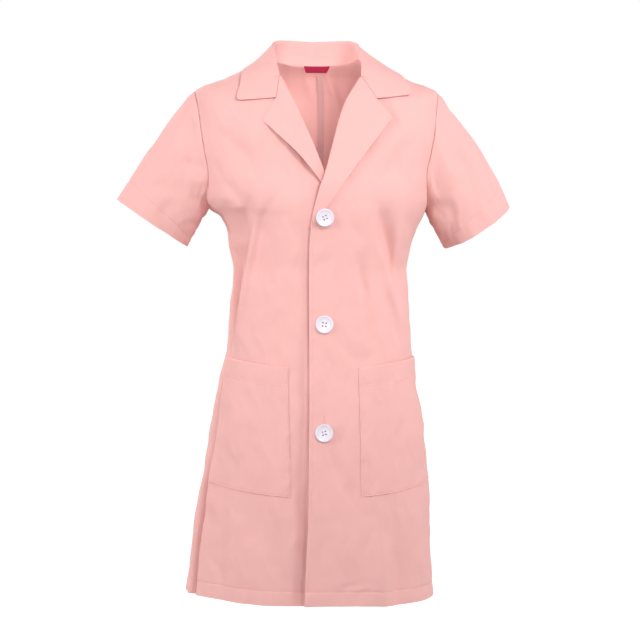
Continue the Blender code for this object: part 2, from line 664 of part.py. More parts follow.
def gorge_point(side, way):
    """A point where the collar meets the lapel, level with the turned lapel."""
    _, neck_end, notch, _ = lapel_outline(side)
    share = np.clip((way - COLLAR_NECK_END) / (1 - COLLAR_NECK_END), 0, 1)
    seen = neck_end + (notch - neck_end) * np.asarray(share)[..., None]
    angle, level = front_place(side * (seen[..., 0] + SEAM * 1.5), seen[..., 1])
    out = front_out(side, side * angle, level) - CLOTH / 2 + 2 * ROLL_RADIUS
    return on_form(angle, level, out)


def collar_section(side, way, shares):
    """Middle points of the leaf from inside the fold, over it and down to the edge."""
    fold = collar_fold(side, way)
    edge = collar_edge(side, way)
    past_neck = float(smooth((way - COLLAR_NECK_END) / COLLAR_JOIN + 1))
    start = fold
    if past_neck > 0:
        start = fold * (1 - past_neck) + gorge_point(side, way) * past_neck
    radius = COLLAR_FOLD_RADIUS * (1 - past_neck) + LEAST_RADIUS
    out = edge - start
    out[2] = 0
    out = unit(out)
    centre = start - np.array((0, 0, radius)) - out * radius * past_neck
    turns = np.linspace(math.pi, 0, 9)
    arc = [centre + radius * (math.cos(t) * out + math.sin(t) * np.array((0, 0, 1)))
           for t in turns]
    crest = (arc[-1] + edge) / 2
    crest[2] += COLLAR_CREST * (1 - 0.5 * past_neck)
    steps = np.linspace(0, 1, 30)[1:, None]
    fall = (1 - steps) ** 2 * arc[-1] + 2 * steps * (1 - steps) * crest + steps ** 2 * edge
    line = np.vstack([arc, fall])
    floor = body_height(line[:, 0], line[:, 1]) + COLLAR_LEAF_CLEAR
    line[:, 2] = np.maximum(line[:, 2], floor)
    lengths = np.concatenate([[0], np.cumsum(np.linalg.norm(np.diff(line, axis=0), axis=1))])
    wanted = np.asarray(shares) * lengths[-1]
    return np.stack([np.interp(wanted, lengths, line[:, i]) for i in range(3)], axis=-1)


def make_collar_leaf():
    shares = (0, 0.02, 0.045, 0.07, 0.10, 0.16, 0.27, 0.40, 0.55, 0.70, 0.85, 1.0)
    ways = (0.0, 0.08, 0.16, 0.24, 0.31, 0.38, 0.45, 0.53, 0.61, 0.69, 0.75, 0.79, 0.83,
            0.88, 0.94, 1.0)
    right = [collar_section(RIGHT, way, shares) for way in ways[:0:-1]]
    left = [collar_section(LEFT, way, shares) for way in ways]
    outer, inner = middle_wall(np.array(right + left))
    return sheet("collar_leaf", outer, inner)


def neck_edge(side, way):
    """The neckline under the stand, with the directions out of and past the panels."""
    round_back = math.pi - (math.pi / 2) * np.clip(way / COLLAR_SHOULDER, 0, 1)
    share = np.clip((way - COLLAR_SHOULDER) / (COLLAR_NECK_END - COLLAR_SHOULDER), 0, 1)
    level = NECK_END_LEVEL * share ** NECK_CURVE
    near = front_edge_angle(side, level)
    front_angle = near + (math.pi / 2 - near) * (1 - share)
    angle = np.where(way < COLLAR_SHOULDER, round_back, front_angle)
    return side * angle, level


def make_collar_stand():
    ways = (0.0, 0.08, 0.16, 0.24, 0.31, 0.36, 0.394, 0.43, 0.48, 0.54, STAND_END)
    columns = [(RIGHT, way) for way in ways[:0:-1]] + [(LEFT, way) for way in ways]
    places = [neck_edge(side, way) for side, way in columns]
    angles = np.array([float(place[0]) for place in places])
    levels = np.array([float(place[1]) for place in places])
    edge = on_form(angles, levels)
    away = out_of_form(angles, levels)
    along = np.gradient(edge, axis=0)
    into = unit(np.cross(along, away))
    into = into * np.sign(np.sum(into * -edge, axis=-1, keepdims=True))
    base_outer = edge + STAND_GAP * into
    base_inner = base_outer - CLOTH * away
    tops = np.array([collar_section(side, way, (0.0,))[0] for side, way in columns])
    tops = tops - np.array((0, 0, STAND_TOP_GAP))
    base = (base_outer + base_inner) / 2
    shares = np.array((0.0, 0.12, 0.4, 0.7, 1.0))[:, None, None]
    middle = base * (1 - shares) + tops * shares
    outer, inner = middle_wall(middle)
    if np.sum((outer - inner)[2] * edge * np.array((1, 1, 0))) < 0:
        outer, inner = inner, outer
    outer[0] = base_outer
    inner[0] = base_inner
    return sheet("collar_stand", outer, inner)


def button_blank():
    """One button at the origin: a turned disc with a raised rim and four holes."""
    profile = ((0.0, 0.0), (0.80, 0.0), (0.97, 0.25), (1.0, 0.60), (0.93, 0.95), (0.84, 1.0),
               (0.74, 0.82), (0.55, 0.62), (0.0, 0.62))
    mesh = bmesh.new()
    points = [mesh.verts.new((r * BUTTON_RADIUS, 0, h * BUTTON_THICKNESS)) for r, h in profile]
    lines = [mesh.edges.new(pair) for pair in zip(points, points[1:])]
    bmesh.ops.spin(mesh, geom=points + lines, cent=(0, 0, 0), axis=(0, 0, 1),
                   angle=2 * math.pi, steps=28, use_merge=True)
    bmesh.ops.remove_doubles(mesh, verts=mesh.verts[:], dist=0.00001)
    disc = new_object("button_blank", mesh, "white_button")
    drill = bmesh.new()
    for x in (-BUTTON_HOLE_PLACE, BUTTON_HOLE_PLACE):
        for y in (-BUTTON_HOLE_PLACE, BUTTON_HOLE_PLACE):
            bmesh.ops.create_cone(
                drill, cap_ends=True, segments=10, radius1=BUTTON_HOLE_RADIUS,
                radius2=BUTTON_HOLE_RADIUS, depth=4 * BUTTON_THICKNESS,
                matrix=Matrix.Translation((x, y, 0)))
    cutter = new_object("button_holes", drill, "white_button")
    cutter.hide_render = True
    cutter.display_type = "WIRE"
    cut = disc.modifiers.new("holes", "BOOLEAN")
    cut.operation = "DIFFERENCE"
    cut.object = cutter
    bpy.context.view_layer.update()
    depsgraph = bpy.context.evaluated_depsgraph_get()
    holed = bpy.data.meshes.new_from_object(disc.evaluated_get(depsgraph))
    bpy.data.objects.remove(disc, do_unlink=True)
    bpy.data.objects.remove(cutter, do_unlink=True)
    return holed


def make_buttons():
    """Three copies of the button, flat on the lapping front."""
    holed = button_blank()
    for name, x, z, rise in BUTTONS:
        angle, level = front_place(x, z)
        out = float(front_out(LEFT, angle, level)) + rise
        place = on_form(angle, level, out)
        away = Vector(out_of_form(angle, level))
        button = bpy.data.objects.new(name, holed)
        button.matrix_world = (Matrix.Translation(Vector(place))
                               @ away.to_track_quat("Z", "Y").to_matrix().to_4x4())
        bpy.context.scene.collection.objects.link(button)


def make_label():
    """A small plain label that hangs inside from the back neck seam."""
    columns = 7
    rows = 4
    shares = np.linspace(-0.5, 0.5, columns)
    drops = np.linspace(LABEL_SEAM, LABEL_HEIGHT, rows)
    outer = np.zeros((rows, columns, 3))
    inner = np.zeros((rows, columns, 3))
    for j, drop in enumerate(drops):
        width = LABEL_TOP_WIDTH + (LABEL_LOW_WIDTH - LABEL_TOP_WIDTH) * j / (rows - 1)
        level = np.full(columns, -drop)
        x = shares * width + LABEL_X
        left_side = np.full(columns, math.pi / 2)
        angle = halving(left_side, 3 * left_side,
                        lambda a, h=level, wanted=x: ring_point(a, h)[..., 0] > wanted)
        outer[j] = on_form(angle, level, -CLOTH - LABEL_GAP)
        inner[j] = on_form(angle, level, -CLOTH - LABEL_GAP - LABEL_THICKNESS)
    return sheet("neck_label", outer, inner, "crimson_label")


def main():
    clear_scene()
    for side in (LEFT, RIGHT):
        make_front(side)
        make_back(side)
        make_sleeve(side)
        make_lapel(side)
        make_pocket(side)
    make_collar_stand()
    make_collar_leaf()
    make_buttons()
    make_label()


main()
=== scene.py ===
"""Short-sleeve lab coat in pink poplin, filled out as if worn.

Metres, +Z up, the front towards -Y and the wearer's left towards +X. Each piece of
cloth is a thin shell on the form of its solid, with its creases, hems and sewing.
"""
import math

import bmesh
import bpy
import numpy as np
from mathutils import Matrix, Vector


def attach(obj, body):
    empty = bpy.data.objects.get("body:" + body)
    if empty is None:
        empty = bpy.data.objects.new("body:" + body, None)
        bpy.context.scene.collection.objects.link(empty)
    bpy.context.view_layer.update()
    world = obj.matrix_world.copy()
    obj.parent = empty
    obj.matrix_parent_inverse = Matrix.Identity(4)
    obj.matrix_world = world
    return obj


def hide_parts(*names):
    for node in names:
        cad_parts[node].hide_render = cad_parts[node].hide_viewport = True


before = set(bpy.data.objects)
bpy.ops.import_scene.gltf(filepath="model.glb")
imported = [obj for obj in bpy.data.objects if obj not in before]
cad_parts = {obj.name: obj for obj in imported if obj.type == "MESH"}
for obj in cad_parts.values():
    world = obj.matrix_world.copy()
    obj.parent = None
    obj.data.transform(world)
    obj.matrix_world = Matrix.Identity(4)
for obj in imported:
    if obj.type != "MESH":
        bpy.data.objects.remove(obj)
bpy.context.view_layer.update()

LEFT = 1
RIGHT = -1
SIDE_NAMES = {LEFT: "left", RIGHT: "right"}

# The solids' thickness of cloth, and the gap between pieces that are sewn together
CLOTH = 0.0016
SEAM = 0.0003
# Small steps up and round the body that give its directions
STEP = 0.0005
TURN = 0.004
# How many times a range is halved to find a place in it
HALVINGS = 18

# Rings of the body, from the hem to the neck
FORM_COLUMNS = (
    "level", "front_drop", "back_drop", "half_width", "front_depth", "back_depth",
    "middle_x", "side_x", "squareness", "front_rise", "left_drop")
FORM_ROWS = (
    (-0.845, 0.009, 0.004, 0.1960, 0.150, 0.146, -0.004, -0.0104, 0.94, 2.0, 0.010),
    (-0.770, 0.014, 0.004, 0.1904, 0.146, 0.140, -0.001, -0.0080, 0.93, 2.0, 0.008),
    (-0.706, 0.020, 0.004, 0.1848, 0.142, 0.135, 0.002, -0.0040, 0.92, 2.0, 0.005),
    (-0.642, 0.023, 0.003, 0.1760, 0.137, 0.129, 0.003, -0.0016, 0.90, 2.0, 0.002),
    (-0.578, 0.021, 0.002, 0.1672, 0.131, 0.122, 0.004, 0.0008, 0.88, 2.0, 0.000),
    (-0.514, 0.019, 0.001, 0.1568, 0.124, 0.114, 0.005, 0.0016, 0.87, 2.0, 0.000),
    (-0.450, 0.016, 0.000, 0.1464, 0.118, 0.106, 0.005, 0.0056, 0.86, 2.0, 0.000),
    (-0.386, 0.012, 0.000, 0.1416, 0.115, 0.098, 0.005, 0.0056, 0.86, 2.0, 0.000),
    (-0.338, 0.009, 0.000, 0.1384, 0.115, 0.094, 0.005, 0.0056, 0.86, 2.0, 0.000),
    (-0.303, 0.007, 0.000, 0.1448, 0.119, 0.097, 0.005, 0.0056, 0.86, 2.0, 0.000),
    (-0.275, 0.006, 0.000, 0.1510, 0.123, 0.100, 0.006, 0.0088, 0.85, 1.9, 0.000),
    (-0.255, 0.006, 0.000, 0.1600, 0.126, 0.103, 0.006, 0.0090, 0.84, 1.8, 0.000),
    (-0.240, 0.007, 0.000, 0.1720, 0.127, 0.105, 0.006, 0.0020, 0.82, 1.7, 0.000),
    (-0.226, 0.009, 0.000, 0.1790, 0.127, 0.107, 0.006, -0.0010, 0.80, 1.6, 0.000),
    (-0.200, 0.014, 0.000, 0.1830, 0.125, 0.110, 0.007, -0.0020, 0.78, 1.5, 0.000),
    (-0.178, 0.022, 0.000, 0.1870, 0.122, 0.111, 0.007, -0.0030, 0.77, 1.4, 0.000),
    (-0.150, 0.032, 0.000, 0.1950, 0.118, 0.111, 0.008, -0.0030, 0.76, 1.3, 0.000),
    (-0.114, 0.046, 0.001, 0.1990, 0.113, 0.109, 0.009, -0.0020, 0.75, 1.2, 0.000),
    (-0.080, 0.062, 0.005, 0.1970, 0.109, 0.105, 0.009, -0.0010, 0.77, 1.2, 0.000),
    (-0.055, 0.075, 0.006, 0.1940, 0.105, 0.100, 0.009, 0.0000, 0.80, 1.2, 0.000),
    (-0.040, 0.072, 0.003, 0.1610, 0.099, 0.093, 0.008, 0.0000, 0.80, 1.2, 0.000),
    (-0.020, 0.070, 0.002, 0.1145, 0.088, 0.080, 0.006, 0.0000, 0.80, 1.2, 0.000),
    (-0.010, 0.069, 0.003, 0.0915, 0.080, 0.070, 0.004, 0.0000, 0.80, 1.2, 0.000),
    (0.000, 0.070, 0.005, 0.0680, 0.068, 0.058, 0.002, 0.0000, 0.80, 1.2, 0.000),
    (0.012, 0.070, 0.007, 0.0480, 0.056, 0.044, 0.001, 0.0000, 0.80, 1.2, 0.000),
)
BACK_RISE = 2.0
SHOULDER_FORM_LEVEL = -0.200

# Large soft folds: the angle and level of both ends, half width in degrees, height
FOLD_COLUMNS = ("top_angle", "top_level", "low_angle", "low_level", "half_width", "height")
FOLD_STEEPNESS = 1.4
FOLD_TOP_FADE = 0.35
FOLD_LOW_FADE = 0.40
FOLD_ROWS = (
    (-35, -0.200, -52, -0.370, 9.0, -0.0040),
    (-44, -0.190, -66, -0.500, 9.0, 0.0040),
    (-24, -0.210, -34, -0.380, 8.0, -0.0020),
    (30, -0.195, 46, -0.390, 9.0, -0.0040),
    (40, -0.190, 62, -0.500, 9.0, 0.0040),
    (20, -0.290, 27, -0.480, 6.5, -0.0040),
    (-30, -0.720, -22, -0.900, 8.0, 0.0040),
    (26, -0.700, 33, -0.900, 8.0, 0.0040),
    (150, -0.230, 140, -0.420, 8.0, -0.0050),
    (-152, -0.240, -143, -0.400, 8.0, -0.0050),
    (132, -0.640, 128, -0.900, 9.0, 0.0060),
    (-135, -0.620, -130, -0.900, 9.0, 0.0055),
    (168, -0.660, 164, -0.900, 8.0, 0.0040),
    (-165, -0.680, -162, -0.900, 8.0, 0.0040),
)

# Armholes and side seams
ARMHOLE_TOP = -0.055
ARMHOLE_LOW = -0.240
ARMHOLE_MIDDLE = (ARMHOLE_TOP + ARMHOLE_LOW) / 2
ARMHOLE_HALF = (ARMHOLE_TOP - ARMHOLE_LOW) / 2
ARMHOLE_HALF_ANGLE = 27.0
SIDE_SEAM_LEVELS = (-0.845, -0.668, -0.475, -0.350, -0.240)
SIDE_SEAM_ANGLES = {RIGHT: (69.0, 71.0, 75.0, 83.0, 90.0), LEFT: (88.0, 89.0, 90.0, 90.0, 90.0)}

# How far a front's edge lies beyond the line of the buttons, and the height over which it
# turns into the roll line
EDGE_BEYOND_BUTTONS = 0.0235
EDGE_TO_ROLL = 0.012
# The roll lines, as seen from the front: heights and distances from the middle
ROLL_HEIGHTS = {LEFT: (-0.283, -0.271, -0.218, -0.198, -0.087, -0.040),
                RIGHT: (-0.245, -0.230, -0.215, -0.198, -0.110, -0.040)}
ROLL_DISTANCES = {LEFT: (-0.0168, -0.0150, -0.0013, 0.0068, 0.0403, 0.0680),
                  RIGHT: (-0.0260, -0.0200, -0.0135, -0.0068, 0.0300, 0.0625)}
NECK_END_LEVEL = -0.011
NECK_CURVE = 1.7
# Where the fronts lap: how far each stands off, from how far aside and over what width
UNDERLAP = 0.0024
UNDERLAP_START = 0.046
UNDERLAP_SLOPE = 0.018
OVERLAP_LIFT = 0.0012
OVERLAP_SLOPE = 0.022
LAPEL_CROSSING_LIFT = 0.0060
LAPEL_CROSSING_HEIGHT = -0.205
LAPEL_CROSSING_REACH = 0.050

# Lapels, as seen from the front: how far out and how high
LAPEL_COLUMNS = ("low_end", "tip_x", "tip_z", "notch_x", "notch_z", "edge_bow", "edge_lift")
LAPEL_LOW_WIDTH = 0.006
LAPEL_ROWS = {LEFT: (-0.277, 0.1120, -0.1065, 0.0887, -0.0748, -0.003, 0.0010),
              RIGHT: (-0.221, 0.0914, -0.1090, 0.0688, -0.0745, -0.008, 0.0060)}
ROLL_RADIUS = 0.0024
FLAT_ROLL_RADIUS = 0.0012
FLAT_ROLL_SHARE = 0.12
ROLL_OPENING_SHARE = 0.35
ROLL_INSET = 1.3 * SEAM
ROLL_STEP = 0.01
# Rows up a lapel, and columns round its roll and over its turned-back part
LAPEL_ROW_COUNT = 120
LAPEL_ROLL_COLUMNS = 12
LAPEL_FLAT_COLUMNS = 34
# A lapel's width and length, as its pressed edge and its puckers take them
LAPEL_GIVEN_WIDTH = 0.06
LAPEL_GIVEN_LENGTH = 0.2
LAPEL_EDGE_MARK = 0.004
LAPEL_SINK = 0.0002
LAPEL_SINK_HALF_WIDTH = 0.0012
LAPEL_PUCKER = 0.0002
LAPEL_PUCKER_REACH = 0.006
# Which part of the rows, and of the columns, the sewing runs along
LAPEL_EDGE_SEWN = slice(12, -3)
LAPEL_TOP_SEWN = slice(6, -4)
# How deep the foot of the left lapel sinks, and how far the tips curl up
LAPEL_FOOT_SINK = 0.0026
LAPEL_FOOT_SHARE = 0.10
LAPEL_TIP_CURL = {RIGHT: 0.0042, LEFT: 0.0018}
LAPEL_TIP_POWER = 1.8
LAPEL_TIP_START = 0.45

# Collar, from the middle of the back to its front edge. Folds and edges give X, Y and Z
# or the height above the body, and each lean moves a point of both sides to the left.
# The right point reaches further forward, and so lower, than the left one
COLLAR_COLUMNS = ("way", "fold_x", "fold_y", "fold_z", "fold_lean",
                  "edge_x", "edge_y", "edge_rise", "edge_lean", "right_forward")
COLLAR_ROWS = (
    (0.000, 0.0000, 0.062, 0.0350, 0.000, 0.0000, 0.086, 0.0070, 0.000, 0.000),
    (0.153, 0.0350, 0.054, 0.0355, 0.000, 0.0500, 0.080, 0.0065, 0.001, 0.000),
    (0.275, 0.0560, 0.034, 0.0330, 0.000, 0.0880, 0.052, 0.0045, 0.003, 0.000),
    (0.394, 0.0665, 0.006, 0.0250, -0.001, 0.1150, 0.010, 0.0036, 0.006, 0.000),
    (0.542, 0.0690, -0.022, 0.0095, 0.000, 0.1225, -0.022, 0.0038, 0.007, 0.000),
    (0.690, 0.0685, -0.046, -0.0150, 0.002, 0.1290, -0.050, 0.0055, 0.008, 0.001),
    (0.810, 0.0660, -0.064, -0.0390, 0.003, 0.1320, -0.063, 0.0060, 0.009, 0.003),
    (1.000, 0.0787, -0.085, -0.0747, 0.010, 0.1372, -0.076, 0.0060, 0.0064, 0.008),
)
COLLAR_SHOULDER = 0.394
COLLAR_NECK_END = 0.810
COLLAR_JOIN = 0.05
COLLAR_FOLD_RADIUS = 0.0026
LEAST_RADIUS = 0.0001
COLLAR_CREST = -0.0020
COLLAR_LEAF_CLEAR = 0.0034
# Where the collar meets the lapel: how high above the front its tucked seam lies, how far in
# from the outline they meet, and how high its fold ends
GORGE_TUCK = 0.0035
GORGE_LAP = 0.0006
GORGE_RISE = 2 * ROLL_RADIUS
# Points of a section over the fold, down the fall, in all of both, and up the stand
COLLAR_FOLD_POINTS = 9
COLLAR_FALL_POINTS = 30
COLLAR_SECTION_POINTS = 60
COLLAR_STAND_POINTS = 16
# Columns from the neck seam at -1 over the fold at 0 to the edge at 1, and rows from the
# middle of the back at 0 to the front edge at 1: each run's ends and its count
COLLAR_SHARE_RUNS = ((-1, 0, 18), (0, 0.14, 16), (0.14, 0.85, 31), (0.85, 1, 12))
COLLAR_WAY_RUNS = ((0, 0.90, 69), (0.90, 1, 14))
# Which parts of the rows and columns the sewing runs along
LEAF_COLUMN = 29
COLLAR_EDGE_SEWN = slice(4, -4)
COLLAR_END_SEWN = slice(0, -9)
STAND_SEWN = slice(14, -14)
# Radius of each collar point, and where the edge over the left shoulder is pressed down
COLLAR_ROUNDS = {RIGHT: 0.0085, LEFT: 0.0045}
PRESSED_WAY = 0.58
PRESSED_REACH = 0.14
PRESSED_SHARE = 0.55
PRESSED_DROP = 0.0022
# The row of sewing along the stand: its place in the section and how deep it sinks
STAND_SEWING_SHARE = -0.55
STAND_SEWING_SINK = 0.0004

# Sleeves: the outer and inner ends of each cuff, seen from the front
CUFF_COLUMNS = ("outer_x", "outer_z", "inner_x", "inner_z")
CUFFS = {RIGHT: (0.3160, -0.2261, 0.2062, -0.2994), LEFT: (0.3136, -0.2331, 0.2074, -0.2999)}
CUFF_BACK = 0.018
CUFF_HALF_DEPTH = 0.049
CUFF_FRONT_DROP = {RIGHT: 0.004, LEFT: 0.012}
CUFF_ROUNDNESS = 0.92
SLEEVE_BULGE = {RIGHT: 0.007, LEFT: 0.010}
SLEEVE_ROUND_COUNT = 128
SLEEVE_ROW_COUNT = 70
SLEEVE_GIRTH = 0.36
# The head of the sleeve is raised beside the armhole's seam
SLEEVE_HEAD = 0.0018
SLEEVE_HEAD_PLACE = 0.007
SLEEVE_HEAD_REACH = 0.006
SLEEVE_HEAD_TURN = 0.4
SLEEVE_PUCKER = 0.0004
SLEEVE_PUCKER_REACH = 0.010
SLEEVE_CALM_REACH = 0.02
# Sleeve creases start a little before the seam and fade in and out over shares of their length
SLEEVE_FADE_BEFORE = 0.12
SLEEVE_FADE_IN = 0.25
SLEEVE_FADE_OUT = 0.5

# Pockets: the inner edge as seen from the front, at the top and at the bottom
POCKET_COLUMNS = ("top_x", "low_x", "top_level", "low_level")
POCKETS = {RIGHT: (-0.0510, -0.0488, -0.475, -0.668), LEFT: (0.0579, 0.0606, -0.475, -0.668)}
POCKET_WIDTH = 0.150
POCKET_GRID = 56
POCKET_HEM = 0.030
POCKET_HEM_STITCHES = (POCKET_HEM - 0.004, POCKET_HEM)
POCKET_EDGE_STITCH = 0.0022
POCKET_MOUTH_MARK = 0.0013
# A second row of sewing up the inner edge of the left pocket
POCKET_SECOND_STITCH = 0.008
POCKET_SECOND_TOP = 0.10
POCKET_SECOND_FADE = 0.03
# How far the pocket stands off all over, in its middle and at its mouth
POCKET_LIFT = 0.0012
POCKET_BELLY = 0.0016
POCKET_MOUTH = 0.0036
POCKET_MOUTH_REACH = 0.030
POCKET_MOUTH_POWER = 0.6
# How deep the sewing, the hem's two rows and the mouth's edge sink
POCKET_SINK = 0.0004
POCKET_HEM_SINK = 0.0002
POCKET_LIP_SINK = 0.0010
POCKET_SINK_WIDTH = 0.0011
# Puckers beside the hem's sewing, the inner edge and the lower edge: seed, height and reach
POCKET_PUCKERS = ((5.0, 0.0006, 0.009), (6.0, 0.0004, 0.008), (7.0, 0.0003, 0.007))

# Buttons: place seen from the front, how far the back stands off the cloth, turn, and
# how far the middle of the upright buttonhole is above the button
BUTTON_COLUMNS = ("name", "x", "z", "rise", "turn", "hole_raise")
BUTTONS = (("button_top", 0.0050, -0.2610, 0.0036, 0.42, 0.0),
           ("button_middle", 0.0050, -0.4252, 0.0006, -0.12, 0.0),
           ("button_low", 0.0036, -0.5916, 0.0006, 0.24, 0.0145))
BUTTON_RADIUS = 0.014
BUTTON_THICKNESS = 0.0032
BUTTON_HOLE_RADIUS = 0.0011
BUTTON_HOLE_PLACE = 0.0024
# From the middle of a button's back, over its rim, to its hollow: shares of radius and thickness
BUTTON_PROFILE = ((0.0, 0.0), (0.78, 0.0), (0.93, 0.10), (0.985, 0.32), (1.0, 0.58), (0.975, 0.84),
                  (0.93, 0.97), (0.885, 1.0), (0.84, 0.95), (0.78, 0.80), (0.70, 0.68),
                  (0.52, 0.60), (0.0, 0.58))
BUTTON_STEPS = 72
BUTTON_SOFT_EDGE = 0.00012
BUTTON_SHARP_DEGREES = 50
HOLE_STEPS = 18
# Half sizes of the crossed thread and of the thread in each hole, which is coloured near black as painted
# shadow of the hole
CROSSED_THREAD = (1.20 * BUTTON_HOLE_PLACE, 0.00040, 0.00030)
CROSSED_LEVEL = 0.60 * BUTTON_THICKNESS
CROSSED_OVER = 0.0002
SUNK_SHADOW_THREAD = (1.25 * BUTTON_HOLE_RADIUS, BUTTON_HOLE_RADIUS, 0.0009)
SUNK_LEVEL = 0.40 * BUTTON_THICKNESS
SUNK_PLACE = 1.41 * BUTTON_HOLE_PLACE
CROSSED_STEPS = 10
SUNK_STEPS = 12
THREAD_RINGS = 8
# Buttonholes: two close rows of thread
BUTTONHOLE_LENGTH = 0.026
BUTTONHOLE_HALF_WIDTH = 0.0009
BUTTONHOLE_POINTS = 24
BUTTONHOLE_LIFT = 0.0001
BUTTONHOLE_STITCH = {"length": 0.0011, "pitch": 0.0009, "thread": 0.0008}

# Neck label
LABEL_TOP_WIDTH = 0.043
LABEL_LOW_WIDTH = 0.034
LABEL_HEIGHT = 0.009
LABEL_TUCK = 0.002
LABEL_GAP = 0.0009
LABEL_BELLY = 0.0006
LABEL_X = 0.005
LABEL_WALL = 0.0006
LABEL_COLUMN_COUNT = 36
LABEL_ROW_COUNT = 14

# The scene's cloth is thinner than the part's walls: one layer, two layers, and
# a seam's allowance
THIN = 0.0010
DOUBLE = 0.0013
ALLOWANCE_WALL = 0.0005
WALL_EDGE_SHARE = 0.32
WALL_EDGE_DEGREES = 60
WALL_SHARP_DEGREES = 55
MERGE = 0.00002
HEM = 0.022
CUFF_HEM = 0.024
HEM_STEP = 0.004
HEM_RISE = 0.00035
CUFF_HEM_RISE = 0.0003
EDGE_STITCH = 0.005
# Below the lapel, how far up the free edge is sewn, and where its row of stitches ends
EDGE_SEWN_TOP = 0.56
EDGE_SEWN_FADE = 0.02
EDGE_STITCH_TOP = -0.292
STITCH_PITCH = 0.0031
STITCH_LENGTH = 0.0023
THREAD = 0.00042
STITCH_LIFT = 0.00006
# Rows of a panel along the skirt, the armhole and the shoulder, and its columns
SKIRT_ROWS = 170
ARMHOLE_ROWS = 60
SHOULDER_ROWS = 26
PANEL_COLUMNS = 84
# A panel is this much wider along its cloth than straight across
FRONT_FULLNESS = 1.08
BACK_FULLNESS = 1.12
# Extra columns or rows beside a sewn line, their least distance from the edge, and the most
# that both edges' rows take of a width
FINE_OFFSETS = (-0.0022, -0.0011, -0.0005, 0.0, 0.0005, 0.0011, 0.0022)
LEAST_OFFSET = 0.0003
FINE_SHARE = 0.45
FINE_SPARE = 0.001
# Sewn lines: how deep they sink and their half width, how high they pucker and how far
HEM_SEWING = (0.0005, 0.0013, 0.00035, 0.007)
CUFF_SEWING = (0.0005, 0.0012, 0.0003, 0.007)
EDGE_SEWING = (0.0004, 0.0012, 0.0003, 0.007)
PANEL_SEAM = (0.0008, 0.0014, 0.0003, 0.006)
# The centre-back seam's allowance, pressed to the wearer's left inside the back
ALLOWANCE_START = 0.0012
ALLOWANCE_WIDTH = 0.0115
ALLOWANCE_RISE = 0.004
ALLOWANCE_TOP = -0.014
ALLOWANCE_GRID = (150, 9)
ALLOWANCE_GAP = 0.0007
ALLOWANCE_LEAN = 0.0010
ALLOWANCE_WAVE = 0.0006

# Creases seen from the front: both ends, sideways bow, how wide each side is, and height
CREASE_COLUMNS = ("from_x", "from_z", "to_x", "to_z", "bow", "right_width", "left_width", "height")
FRONT_CREASES = (
    (-0.143, -0.500, -0.109, -0.190, 0.000, 0.010, 0.015, -0.0200),
    (-0.139, -0.500, -0.0905, -0.214, 0.000, 0.006, 0.013, 0.0104),
    (-0.070, -0.200, -0.104, -0.360, 0.006, 0.008, 0.020, -0.0042),
    (-0.054, -0.250, -0.070, -0.440, 0.005, 0.020, 0.009, 0.0026),
    (-0.036, -0.300, -0.044, -0.460, 0.003, 0.008, 0.012, -0.0018),
    (0.140, -0.424, 0.082, -0.206, 0.000, 0.011, 0.012, -0.0122),
    (0.132, -0.450, 0.080, -0.256, 0.000, 0.008, 0.008, 0.0076),
    (0.048, -0.290, 0.074, -0.450, -0.005, 0.010, 0.014, -0.0022),
    (0.010, -0.432, 0.072, -0.496, 0.004, 0.008, 0.012, -0.0024),
    (0.026, -0.420, 0.092, -0.476, 0.004, 0.012, 0.008, 0.0022),
    (0.004, -0.446, 0.034, -0.530, 0.004, 0.008, 0.010, -0.0022),
    (-0.176, -0.110, -0.078, -0.226, -0.010, 0.024, 0.014, -0.0052),
    (-0.146, -0.086, -0.086, -0.176, -0.006, 0.014, 0.020, 0.0026),
    (0.166, -0.124, 0.086, -0.232, 0.010, 0.014, 0.024, -0.0048),
    (0.150, -0.096, 0.094, -0.184, 0.006, 0.020, 0.014, 0.0026),
    (-0.150, -0.196, -0.112, -0.246, 0.004, 0.008, 0.012, -0.0036),
    (-0.060, -0.500, -0.072, -1.060, 0.006, 0.014, 0.016, 0.0046),
    (-0.088, -0.670, -0.078, -1.020, -0.008, 0.012, 0.018, -0.0044),
    (-0.112, -0.660, -0.124, -1.020, 0.006, 0.016, 0.010, 0.0040),
    (-0.142, -0.560, -0.164, -1.050, 0.004, 0.014, 0.012, -0.0042),
    (0.008, -0.590, 0.050, -0.710, 0.006, 0.010, 0.014, -0.0036),
    (0.044, -0.620, 0.062, -0.800, 0.006, 0.012, 0.016, -0.0028),
    (0.110, -0.680, 0.146, -1.020, 0.006, 0.010, 0.020, -0.0052),
    (0.088, -0.670, 0.110, -0.960, 0.006, 0.016, 0.010, 0.0040),
    (0.030, -0.690, 0.036, -0.850, 0.004, 0.014, 0.010, 0.0022),
    (0.022, -0.826, 0.060, -0.820, 0.001, 0.0030, 0.0042, -0.0016),
    (0.038, -0.834, 0.082, -0.822, 0.001, 0.0030, 0.0036, 0.0014),
)
